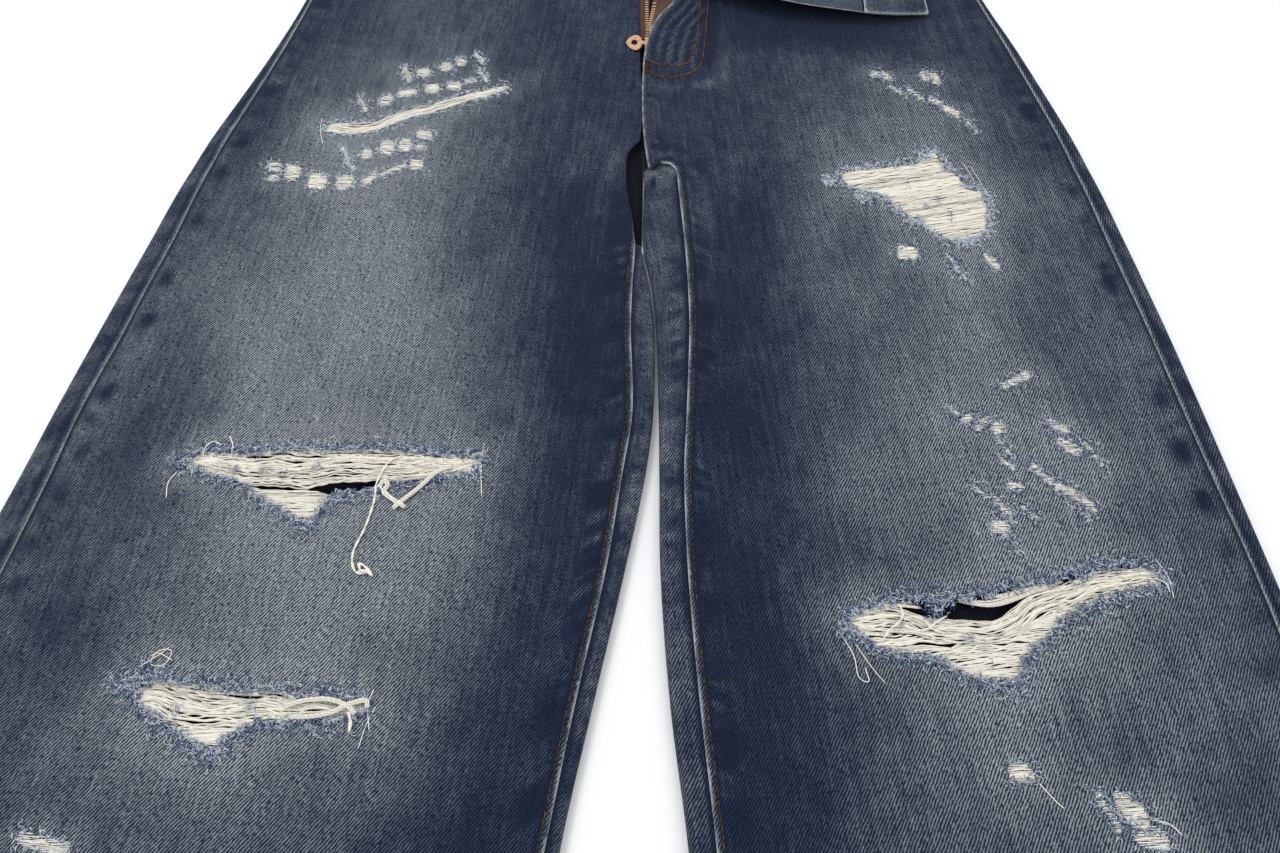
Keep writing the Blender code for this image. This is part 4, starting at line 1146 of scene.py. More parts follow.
def grid_cloth(name, points, grain, wear_and_shade, materials, keep=None, flip=False):
    """A cloth from rows of points, all of one length."""
    rows, columns = points.shape[:2]
    faces = []
    for i in range(rows - 1):
        for j in range(columns - 1):
            if keep is None or keep(i, j):
                start = i * columns + j
                face = [start, start + 1, start + columns + 1, start + columns]
                faces.append(face[::-1] if flip else face)
    used = sorted({k for face in faces for k in face})
    order = {k: n for n, k in enumerate(used)}
    faces = [[order[k] for k in face] for face in faces]
    flat_wear_and_shade = tuple(np.asarray(w, float).reshape(-1)[used] for w in wear_and_shade)
    points, grain = points.reshape(-1, 3)[used], grain.reshape(-1, 2)[used]
    return make_object(name, points, faces, materials, grain, flat_wear_and_shade)


def strip_wear_and_shade(points, side, from_in, from_out):
    """Wear and painted shade of a back panel: pale folds, mottled strips, a dark line along each seam,
    painted shadow at the inseam edge and painted shade in the hollow at the fork.
    """
    x, y = points[..., 0], points[..., 1]
    fold_in = hump(from_in - 11, 4.0) * (y < CROTCH_Y)
    # Painted shadow along the inseam edge, beside the front panel's raised edge
    groove = hump(from_in, 1.5) * (y < CROTCH_Y)
    ropes = 0.5 * pucker(from_out, y, 91 + side, 17.0, 13.0)
    ropes += 0.6 * pucker(from_in, y, 95 + side, 10.0, 11.0)
    mid = hump(x - read(FADE_LINES[side], y), 80) * read(FADE_ALONG[side], y)
    under = points[..., 2] < FOLD_R + lift(y)
    fade = 0.12 + 0.14 * waves(x, y, 97 + side, 30) + 0.4 * mid * under
    high = 0.25 * fold_in + 0.3 * hump(from_out - 17, 5.0) + 0.95 * hump(from_out, 1.6)
    high = high + 0.5 * np.maximum(ropes, 0) + 0.9 * hump(y - HEM_Y, 1.4)
    dark = 0.8 * groove + 0.5 * np.maximum(-ropes, 0) + 0.5 * hump(from_out - 3, 1.3)
    if side > 0:
        # Painted shade in the hollow at the fork, on the upper face
        hollow = hump(x - FORK_HOLLOW[0], 1.5) * hump(y - FORK_HOLLOW[1], 4.2)
        dark = dark + 1.2 * hollow * (points[..., 2] > FOLD_R)
    return np.clip(fade, 0, 1), np.clip(high, 0, 1.3), np.clip(dark, 0, 1.2), ropes


def back_panel(name, side):
    hem_top = HEM_Y + HEM_DEPTH
    levels = [spaced(HEM_Y, hem_top - 0.2, 7), spaced(hem_top + 0.2, VIEW_LOW, 12)]
    levels = np.concatenate((*levels, spaced(VIEW_LOW, 178, 4.0)[1:], [YOKE_Y["side"]]))
    sections = [back_section(y, side) for y in levels]
    points = np.array([[(x, y, z) for x, z in section] for y, section in zip(levels, sections)])
    points[-1, :, 1] = yoke_seam(points[-1, :, 0], side) - SEAM_GAP / 2
    length = across_lengths(points)
    fade, high, dark, ropes = strip_wear_and_shade(points, side, length, length[:, -1:] - length)
    on_top = points[..., 2] > 2 * FOLD_R - 0.4 + lift(points[..., 1])
    points[..., 2] += on_top * 0.3 * ropes
    grain = np.stack((length * -side, points[..., 1]), -1)
    grain[..., 0] -= points[..., 1] * math.tan(GRAIN[side]) * 0.6
    first_seat = int(np.sum(levels <= FORK_END[side])) - 1
    flat_from = STRIP_COLUMNS + ARC_COLUMNS - 2

    def keep(i, j):
        return i < first_seat or j >= flat_from

    # The reverse face, seen through the rips and the crotch opening, is the near-black denim of painted shade
    wear_and_shade, materials = (fade, high, dark), [denim_back, denim_dark]
    cloth = grid_cloth(f"{name}_cloth", points, grain, wear_and_shade, materials, keep, flip=side > 0)
    declare_cloth(cloth, name)
    return thicken(cloth)


# %% Back legs
back_panel("back_leg_right", -1)
back_panel("back_leg_left", 1)


# %% Strip under the fork
def fork_strip():
    """The left back panel's strip where it goes on under the front's rounded corner."""
    ys, shares = spaced(CROTCH_Y - 6, 20, 1.0), np.linspace(0, 1, 14)
    rows = []
    for y in ys:
        dip = 0.2 + 1.4 * float(smooth((y - CROTCH_Y) / 5))
        start = seat_line(CROTCH_Y, 1) + 0.3 + 2.4 * float(smooth((y - CROTCH_Y) / 6))
        end = leg_at(1, CROTCH_Y, "inseam") + 2.0
        z = 2 * FOLD_R + float(lift(y)) - dip - 0.05
        rows.append([(start + (end - start) * t, y, z) for t in shares])
    points = np.array(rows)
    x, y = points[..., 0], points[..., 1]
    grain = np.stack((-x, y), -1)
    wear_and_shade = (0.2 + 0.12 * waves(x, y, 98, 12), 0.25 + 0 * x, 0 * x)
    # Its reverse is the near-black denim of painted shade
    cloth = grid_cloth("fork_strip", points, grain, wear_and_shade, [denim_back, denim_dark])
    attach(cloth, "garment")
    return thicken(cloth)


fork_strip()


# %% Yokes
def yoke_panel(name, side):
    rows = []
    for share in np.linspace(0, 1, 9):
        level = YOKE_Y["side"] + (WAIST_SEAM_Y - YOKE_Y["side"]) * share
        section = back_section(level, side)[STRIP_COLUMNS + ARC_COLUMNS - 2 :]
        low = [float(yoke_seam(x, side)) + SEAM_GAP / 2 for x, _ in section]
        top = WAIST_SEAM_Y - SEAM_GAP / 2
        rows.append([(x, y + (top - y) * share, z) for (x, z), y in zip(section, low)])
    points = np.array(rows)
    length = across_lengths(points)
    high = 0.6 * hump(points[..., 1] - yoke_seam(points[..., 0], side), 2.0)
    fade = 0.2 + 0.12 * waves(points[..., 0], points[..., 1], 7 + side, 30)
    grain = np.stack((length * -side, points[..., 1]), -1)
    wear_and_shade, materials = (fade, high, high * 0), [denim_back, denim_inside]
    cloth = grid_cloth(f"{name}_cloth", points, grain, wear_and_shade, materials, flip=side > 0)
    declare_cloth(cloth, name)
    return thicken(cloth)


yoke_panel("yoke_right", -1)
yoke_panel("yoke_left", 1)

# %% [markdown]
# ## Waistband, loops and pockets


# %% Waistband
def waist_line(s, v):
    """A point s along the left front's waist seam from the fly, v above it."""
    start = read(FLY_EDGE_LEFT, CORNER_Y - BAND_DEPTH + v)
    x = start + (198 - start) * s / 190
    return x, waist_y(x) + v


BAND_V = np.array((0.0, 0.9, 1.9, 3.2, 6, 12, 21, 30, 36, 38.8, 40.1, 41.1, 42.0)) / 42.0
BAND_MIDDLE = 6


def band_rows():
    """Rows of outer points across the band, from its right end round the back to its left end."""
    rows = []
    low, high = WAIST_SEAM_Y + SEAM_GAP / 2, BAND_TOP_Y
    base = float(lift(WAIST_SEAM_Y))
    right = leg_at(-1, 290, "side_fold")
    left = leg_at(1, 290, "side_fold")

    def across(x, z):
        rows.append([(x, low + (high - low) * v, z) for v in BAND_V])

    for x in spaced(2, right + FOLD_R, 5):
        across(x, base + 2 * FOLD_R)
    for x, z in arc(right + FOLD_R, FOLD_R, 90, 270, 9)[1:-1]:
        across(x, base + z)
    for x in spaced(right + FOLD_R, left - FOLD_R, 7):
        across(x, base)
    for x, z in arc(left - FOLD_R, FOLD_R, -90, 90, 9)[1:-1]:
        across(x, base + z)
    turned_length, settle = 187, 25
    for s in spaced(turned_length, 0, 3.0):
        share = float(smooth((turned_length - s) / settle))
        row = []
        for v in BAND_V:
            x, y = waist_line(s, 2 * SEAM_GAP + (BAND_DEPTH - 2 * SEAM_GAP) * v)
            flat_y = low + (high - low) * v
            row.append(tuple(lay_front(x, flat_y + (y - flat_y) * share, 0.0, 1)))
        rows.append(row)
    return np.array(rows)


def band_cloth():
    points = band_rows()
    run = run_length(points[:, BAND_MIDDLE])
    v = np.broadcast_to(BAND_V * BAND_DEPTH, points.shape[:2])
    s = np.broadcast_to(run[:, None], points.shape[:2])
    edge = np.minimum(v, BAND_DEPTH - v)
    ends = np.minimum(s, run[-1] - s)
    ropes = pucker(edge + 0.6, s, 120, 7.5, 9.0)
    points[..., 2] += 0.25 * ropes * (points[..., 2] > 6)
    high = 1.2 * hump(edge, 1.2) + 0.5 * np.maximum(ropes, 0) + hump(ends, 1.4)
    dark = 0.5 * np.maximum(-ropes, 0)
    fade = 0.22 + 0.12 * waves(s, v, 123, 26)
    grain = np.stack((v, s), -1)
    materials = [denim_band, denim_band]
    cloth = grid_cloth("waistband_cloth", points, grain, (fade, high, dark), materials)
    declare_cloth(cloth, "waistband")
    print("band length", round(float(run[-1])), "mm")
    return thicken(cloth, 1.7)


band_cloth()


# %% Flat small pieces
def small_sheet(name, outline, lay, slot, materials, edge_wear=0.0, wall=CLOTH_WALL, size=4.0):
    """A small flat cloth from a plan outline, laid by lay(x, y, h)."""
    ring = dense(outline, size, closed=True)
    closed, middle = ring + ring[:1], np.mean(ring, axis=0)
    xs, ys = (np.arange(a + 1, b, size) for a, b in zip(np.min(ring, axis=0), np.max(ring, axis=0)))
    drawn_in = [tuple(np.average([p, middle], axis=0, weights=(0.94, 0.06))) for p in ring]
    grid = np.array([(x, y) for x in xs for y in ys] + drawn_in)
    keep = inside(grid, ring) & (line_distance(*grid.T, closed) > 0.6)
    edges = [(k, (k + 1) % len(ring)) for k in range(len(ring))]
    flat, triangles, middles = triangulate([*ring, *grid[keep]], edges)
    triangles = triangles[inside(middles, ring)]
    x, y = flat[:, 0], flat[:, 1]
    high = edge_wear * 1.1 * hump(line_distance(x, y, closed), 1.2)
    wear_and_shade = (0.2 + 0.12 * waves(x, y, len(name), 18), high, high * 0)
    places = np.array(lay(x, y, np.zeros(len(flat))))
    cloth = make_object(f"{name}_cloth", places, triangles, materials, flat, wear_and_shade)
    declare_cloth(cloth, name)
    return thicken(cloth, wall)


def level(z):
    def lay(x, y, h):
        return np.stack((x, y, h + z), -1)

    return lay


FACING_Z = SEAT_LIFT + 2 * FOLD_R - SOLID_WALL - 0.9
for name, side in (("pocket_facing_right", -1), ("pocket_facing_left", 1)):
    mouth = [(x - side * 16, y - 15) for x, y in pocket_mouth(side, 6)[1:-1]]
    side_x = leg_at(side, POCKET_MOUTH[1], "side_seam") - side
    waist_x = leg_at(side, WAIST_SEAM_Y, "side_seam") - side
    outline = [(side * (POCKET_MOUTH[0] - 16), WAIST_SEAM_Y - 0.6)] + mouth
    outline += [(side_x, POCKET_MOUTH[1] - 16), (waist_x, WAIST_SEAM_Y - 0.6)]
    outline = outline[::-1] if side < 0 else outline
    small_sheet(name, outline, level(FACING_Z), "denim_dark", [denim_band, denim_inside])

POCKET_SIZE = (132.0, 142.0, 24.0)
POCKET_AT = (102.0, 188.0)


def pocket_outline(side, inset=0.0):
    wide, tall, point = POCKET_SIZE
    x, y = side * POCKET_AT[0], POCKET_AT[1]
    half = wide / 2 - inset
    return [
        (x - half, y - inset), (x - half + 6, y - tall + point + inset), (x, y - tall + inset * 1.4),
        (x + half - 6, y - tall + point + inset), (x + half, y - inset),
    ]


for name, side in (("back_pocket_right", -1), ("back_pocket_left", 1)):
    cloths = [denim_back, denim_inside]
    pocket = small_sheet(name, pocket_outline(side), level(1.0), "denim_back", cloths, 1.0)
    pocket.data.flip_normals()
    pocket.modifiers["wall"].offset = 1.0

# %% Belt loops
LOOP_SIZE = (11.0, 54.0, 1.1)
LOOP_TUCK = 6
RIGHT_LOOP_X = -98
LEFT_LOOP_ALONG = 96
BACK_LOOPS = {"belt_loop_back_right": -112, "belt_loop_back_middle": 0, "belt_loop_back_left": 112}


def loop_cloth(name, middle, lay, facing_down=False):
    """A folded strip with rolled long edges and tucked ends."""
    wide, tall, thick = LOOP_SIZE
    c, t = np.meshgrid(np.linspace(-0.5, 0.5, 9), np.linspace(0, 1, 22))
    bulge = 0.45 * (1 - (2 * c) ** 4) + 0.25 * np.sin(np.pi * t) * (1 - (2 * c) ** 2)
    tuck = 0.35 * hump(np.minimum(t, 1 - t) * tall, 2.4)
    x, y = middle(t)
    places = lay(x + c * wide, y, thick * 0.45 + bulge - tuck)
    grain = np.stack((c * wide, t * tall), -1)
    high = hump((0.5 - abs(c)) * wide, 1.1) + 0.25
    wear_and_shade = (high * 0 + 0.25, high, high * 0)
    cloth = grid_cloth(f"{name}_cloth", places, grain, wear_and_shade, [denim_band], flip=facing_down)
    declare_cloth(cloth, name)
    return thicken(cloth, 0.7)


def straight_loop(x):
    def middle(t):
        return x, WAIST_SEAM_Y - LOOP_TUCK + (LOOP_SIZE[1] - LOOP_TUCK) * t

    return middle


def on_top(x, y, h):
    return np.stack((x, y, lift(WAIST_SEAM_Y) + 2 * FOLD_R + SEAM_GAP + h), -1)


def underneath(x, y, h):
    return np.stack((x, y, np.maximum(LOOP_SIZE[2] - h, 0.05)), -1)


def turned_middle(t):
    return waist_line(LEFT_LOOP_ALONG, (LOOP_SIZE[1] - LOOP_TUCK) * t - LOOP_TUCK)


def on_turned(x, y, h):
    return lay_front(x, y, h + 2 * SEAM_GAP, 1)


loop_cloth("belt_loop_front_right", straight_loop(RIGHT_LOOP_X), on_top)
loop_cloth("belt_loop_front_left", turned_middle, on_turned)
for name, x in BACK_LOOPS.items():
    loop_cloth(name, straight_loop(x), underneath, facing_down=True)

# %% [markdown]
# ## Fly: shield, tapes, teeth, slider, pull and button

# %% Shield and tapes
TAPE_LOW_Y = 128.0
SHIELD_Z = SEAT_LIFT + SOLID_WALL + SEAM_GAP + 1.0
shield_top = WAIST_SEAM_Y - 0.6
shield_outline = [(-26, 88), (20, 88), (24, 120), (24, shield_top), (-26, shield_top)]
# The shield's face is the near-black denim of painted shade, for the shield in the fly's shadow
small_sheet("fly_shield", shield_outline, level(SHIELD_Z), "denim_dark", [denim_dark, denim_inside])
TAPE_Z = SHIELD_Z + SEAM_GAP + 0.6
right_ys = spaced(TAPE_LOW_Y, WAIST_SEAM_Y - 1, 10)
right_tape = [(read_at(FLY_EDGE_RIGHT, y) - 8.0, y) for y in right_ys]
right_tape += [(x + 13.0, y) for x, y in reversed(right_tape)]
tape_look = {"slot": "zip_tape", "materials": [zip_tape], "wall": 0.5, "size": 2.5}
small_sheet("zip_tape_right", right_tape[::-1], level(TAPE_Z), **tape_look)
left_ys = spaced(TAPE_LOW_Y, 283, 6)
left_tape = [(read_at(ZIP_LINE_LEFT, y) + 5.5, y) for y in left_ys]
left_tape += [(x - 11.0, y) for x, y in reversed(left_tape)]


def behind_left(x, y, h):
    return lay_front(x, y, h - SOLID_WALL - 2 * SEAM_GAP + 0.6, 1)


small_sheet("zip_tape_left", left_tape, behind_left, **tape_look)


# %% Zip teeth
TOOTH_SECTIONS = ((-1.3, 0.55, 0.75), (0.6, 0.55, 0.75), (1.3, 0.3, 0.4))
CORNERS = ((-1, -1), (1, -1), (1, 1), (-1, 1))


def copper_object(bm, name):
    """The finished mesh as an object of copper."""
    bmesh.ops.recalc_face_normals(bm, faces=bm.faces)
    mesh = bpy.data.meshes.new(name)
    bm.to_mesh(mesh)
    bm.free()
    mesh.materials.append(copper)
    obj = bpy.data.objects.new(name, mesh)
    bpy.context.collection.objects.link(obj)
    return obj


def tooth_mesh(places, way, name):
    """Rounded metal teeth, one at each place, all pointing one way along X."""
    bm = bmesh.new()
    for x, y, z in places:
        corners = []
        for along, half_wide, half_tall in TOOTH_SECTIONS:
            for a, b in CORNERS:
                corner = (x + way * along, y + way * a * half_wide, z + b * half_tall)
                corners.append(bm.verts.new(to_row(corner)))
        for k in (0, 4):
            for s in range(4):
                t = (s + 1) % 4
                bm.faces.new((corners[k + s], corners[k + t], corners[k + 4 + t], corners[k + 4 + s]))
        bm.faces.new(corners[3::-1])
        bm.faces.new(corners[8:12])
    obj = copper_object(bm, name)
    bevel = obj.modifiers.new("soft edges", "BEVEL")
    bevel.width = 0.00012
    bevel.segments = 2
    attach(obj, "garment")
    return obj


TOOTH_PITCH = 2.4
teeth_y = np.arange(TAPE_LOW_Y + 1, 262, TOOTH_PITCH)
right_teeth = [(read_at(FLY_EDGE_RIGHT, y) + 5.6, y, TAPE_Z + 0.1) for y in teeth_y]
tooth_mesh(right_teeth, 1, "zip_teeth_right")
left_y = np.arange(TAPE_LOW_Y + 2, 280, TOOTH_PITCH)
left_x = read(ZIP_LINE_LEFT, left_y) - 5.4
left_teeth = behind_left(left_x, left_y, np.full(len(left_y), -0.25))
tooth_mesh(left_teeth.tolist(), -1, "zip_teeth_left")

# %% Slider, pull and button
PULL_AXIS = (3.9, 120.0, 8.4)
PULL_LEAF = {"middle": -7.6, "long": 5.2, "wide": 7.0}
PULL_EYE = {"middle": -7.4, "long": 1.9, "wide": 2.6}
PULL_WALL = 1.1
LEAF_TURNS = [2 * math.pi * k / 40 for k in range(40)]
BARREL_TURNS = [2 * math.pi * k / 20 for k in range(20)]


def leaf_width(a):
    width = PULL_LEAF["wide"] * math.sin(a) * (1 + 0.2 * math.cos(a))
    return width * abs(math.sin(a)) ** 0.5 if math.cos(a) < 0 else width


def zip_pull_mesh():
    """Leaf-shaped pull with an eye: a round rim, a barrel and the shank between."""
    axis_x, axis_y, axis_z = PULL_AXIS
    bm = bmesh.new()

    def vertex(x, y, z):
        return bm.verts.new(to_row((axis_x + x, axis_y + y, axis_z + z)))

    def join(low, high):
        for a, b, c, d in zip(low, low[1:] + low[:1], high[1:] + high[:1], high):
            bm.faces.new((a, b, c, d))

    outer, eyes = [], []
    for share, inset in ((-0.5, 0.16), (-0.3, 0.0), (0.3, 0.0), (0.5, 0.16)):
        z, narrow = share * PULL_WALL, 1 - inset / PULL_LEAF["wide"]
        long, eye_long = PULL_LEAF["long"] - inset, PULL_EYE["long"] + inset
        outer.append([
            vertex(PULL_LEAF["middle"] + long * math.cos(a), leaf_width(a) * narrow, z)
            for a in LEAF_TURNS
        ])
        eyes.append([
            vertex(PULL_EYE["middle"] + eye_long * math.cos(a), (PULL_EYE["wide"] + inset) * math.sin(a), z)
            for a in LEAF_TURNS
        ])
    for rings in (outer, eyes[::-1]):
        for low, high in zip(rings, rings[1:]):
            join(low, high)
    join(outer[-1], eyes[-1])
    join(eyes[0], outer[0])
    barrel = [
        [vertex(radius * math.cos(a), y, radius * math.sin(a)) for a in BARREL_TURNS]
        for y, radius in ((-2.6, 0.7), (-2.4, 0.9), (2.4, 0.9), (2.6, 0.7))
    ]
    for low, high in zip(barrel, barrel[1:]):
        join(low, high)
    bm.faces.new(barrel[0][::-1])
    bm.faces.new(barrel[-1])
    shank = bmesh.ops.create_cube(bm, size=1.0)["verts"]
    place = Vector(to_row((axis_x - 1.3, axis_y, axis_z)))
    for vert in shank:
        vert.co = place + Vector((vert.co.x * 2.6, vert.co.y * 3.2, vert.co.z)) * MM
    obj = copper_object(bm, "zip_pull_leaf")
    obj.data.shade_smooth()
    obj.data.set_sharp_from_angle(angle=math.radians(40))
    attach(obj, "pull_tab")
    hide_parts("zip_pull")
    return obj


zip_pull_mesh()
for node, metal in (("zip_slider", copper), ("tack_button", button_metal)):
    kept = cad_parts[node]
    kept.data.materials.clear()
    kept.data.materials.append(metal)

# %% [markdown]
# ## Threads and fuzz of the rips


# %% Weft threads
THREAD_PITCH = 0.72
THREAD_STEP = 1.9


def level_at(line, x):
    """The line's level at x, with its corners rounded."""
    xs, ys = [p[0] for p in line], [p[1] for p in line]
    return sum(np.interp(x + shift, xs, ys) for shift in (-5, -2.5, 0, 2.5, 5)) / 5


def part_threads(x, y, partings):
    """Pushes a thread away from the dark lines where the threads stand apart."""
    for (x0, y0), (x1, y1), width in partings:
        ends = smooth((x - x0 + 2) / 5) * smooth((x1 + 2 - x) / 5)
        gap = y - np.interp(x, (x0, x1), (y0, y1))
        if ends.max() > 0.3:
            way = 1 if float((gap * ends).sum()) > 0 else -1
            y = y + way * ends * np.clip(width - way * gap, 0, 2 * width)
    return y


def band_lines(rip, rng, seed):
    """Threads that follow a rip's band from its left to its right end."""
    upper, lower = rip.get("band_top", rip["top"]), rip.get("band_low", rip["low"])
    start, end = max(upper[0][0], lower[0][0]), min(upper[-1][0], lower[-1][0])
    xs = spaced(start, end, THREAD_STEP)
    tallest = float((level_at(upper, xs) - level_at(lower, xs)).max())
    lines = []
    for layer, share in ((0, 1), (1, 3)):
        count = max(4, round(tallest / THREAD_PITCH / share))
        for k in range(count):
            f = min(max((k + 0.5 + rng.uniform(-0.4, 0.4)) / count, 0.03), 0.97)
            a, b = start - rng.uniform(0.5, 2.5), end + rng.uniform(0.5, 2.5)
            if layer and rng.random() < 0.5:
                short_end = b - rng.uniform(0.3, 0.7) * (b - a)
                late_start = a + rng.uniform(0.3, 0.7) * (b - a)
                a, b = rng.choice(((a, short_end), (late_start, b)))
            x = spaced(a, b, THREAD_STEP)
            low, tall = level_at(lower, x), level_at(upper, x) - level_at(lower, x)
            drift = 0.06 * waves(x, x * 0 + k * 3.1, seed + layer, 34)
            y = low + np.clip(f + drift, 0, 1) * tall
            wander = waves(x, x * 0 + k * 17.3, seed + 5, 9) + waves(x, y * 0.3, seed + 6, 15)
            y = y + 0.5 * wander * smooth(tall / 6)
            y = part_threads(x, y, rip.get("partings", ()))
            rise = 0.45 * waves(x, x * 0 + k * 9.7, seed + 9, 12) + 0.35 * layer
            rise = rise + (1 - tall / tallest) * rng.uniform(-0.2, 0.8)
            lines.append((x, y, rise))
    return lines


def crossings(ring, b):
    """Where a closed ring crosses the level b, in order."""
    hits = []
    for (ax, ay), (bx, by) in zip(ring, ring[1:] + ring[:1]):
        if (ay > b) != (by > b):
            hits.append(ax + (b - ay) / (by - ay) * (bx - ax))
    return sorted(hits)


def level_lines(ring, turn, rng, seed, pitch=THREAD_PITCH, tuck=2.0, partings=()):
    """Straight threads across a closed ring, turned by an angle in degrees."""
    c, s = math.cos(math.radians(turn)), math.sin(math.radians(turn))
    local = [(x * c + y * s, -x * s + y * c) for x, y in ring]
    lowest, highest = (pick(p[1] for p in local) for pick in (min, max))
    lines = []
    b = lowest + 0.4
    while b < highest - 0.2:
        hits = crossings(local, b)
        for a0, a1 in zip(hits[::2], hits[1::2]):
            if a1 - a0 < 1.5:
                continue
            a = spaced(a0 - rng.uniform(0.4, tuck), a1 + rng.uniform(0.4, tuck), THREAD_STEP)
            wave = 0.5 * waves(a, a * 0 + b * 4.0, seed, 30) + 0.25 * waves(a, a * 0 + b * 31, seed + 3, 7)
            x, y = a * c - (b + wave) * s, a * s + (b + wave) * c
            y = part_threads(x, y, partings)
            lines.append((x, y, 0.3 * waves(a, a * 0 + b * 9, seed + 7, 11)))
        b += pitch * rng.uniform(0.75, 1.25)
    return lines


def lay_threads(name, lines, side, lifted, rng, thick=(0.29, 0.48)):
    """Sweeps threads (x, y, rise) over the cloth of one leg; their ends go under its edge."""
    laid = []
    for x, y, rise in lines:
        t = np.linspace(0, 1, len(x))
        hold = np.minimum(np.sin(np.pi * t) ** 0.5 * 1.2, 1)
        laid.append(np.stack((x, y, front_height(x, y, side) + lifted + hold * rise - 0.5 * (1 - hold)), -1))
    radii = [rng.uniform(*thick) for _ in laid]
    tones = [rng.uniform(0.45, 1.15) for _ in laid]
    threads = sweep(name, laid, radii, tones, weft_material)
    return len(laid)


thread_count = 0
for k, (name, rip) in enumerate(RIPS.items()):
    rng = random.Random(200 + k)
    partings = rip.get("partings", ())
    if name == "rip_left_thigh":
        lines = level_lines(RINGS[name], rip["turn"], rng, 230)
    else:
        lines = band_lines(rip, rng, 210 + 20 * k)
    if "band_low" in rip:
        below = closed_ring(rip.get("fill_top", rip["band_low"]), rip["low"])
        lines += level_lines(below, rip.get("turn", 0.0), rng, 240 + k, partings=partings)
    for stray in rip.get("strays", ()):
        for _ in range(3):
            x = spaced(stray[0][0], stray[-1][0], THREAD_STEP)
            lines.append((x, level_at(stray, x) + rng.uniform(-0.9, 0.9), x * 0 + rng.uniform(0, 0.3)))
    thread_count += lay_threads(f"{name}_threads", lines, rip["side"], rip.get("raised", -0.5), rng)
for side, patches in PATCHES.items():
    rng = random.Random(280 + side)
    lines = []
    for k, patch in enumerate(patches):
        lines += level_lines(patch_ring(patch), 3.0 * side, rng, 300 + k, 0.66, tuck=0.9)
    thread_count += lay_threads(f"patch_threads_{LABELS[side]}", lines, side, 0.45, rng, (0.24, 0.38))
print("weft threads:", thread_count)


# %% Loose threads
def smooth_line(points, per_step=6):
    """A smooth curve through given points (x, y, height over the cloth)."""
    p = np.array(points, float)
    p = np.concatenate((2 * p[:1] - p[1:2], p, 2 * p[-1:] - p[-2:-1]))
    out = []
    for a, b, c, d in zip(p, p[1:], p[2:], p[3:]):
        for t in np.linspace(0, 1, per_step, endpoint=False):
            pull = (c - a) * t + (2 * a - 5 * b + 4 * c - d) * t**2 + (3 * b - a - 3 * c + d) * t**3
            out.append(b + 0.5 * pull)
    out.append(p[-2])
    return np.array(out)


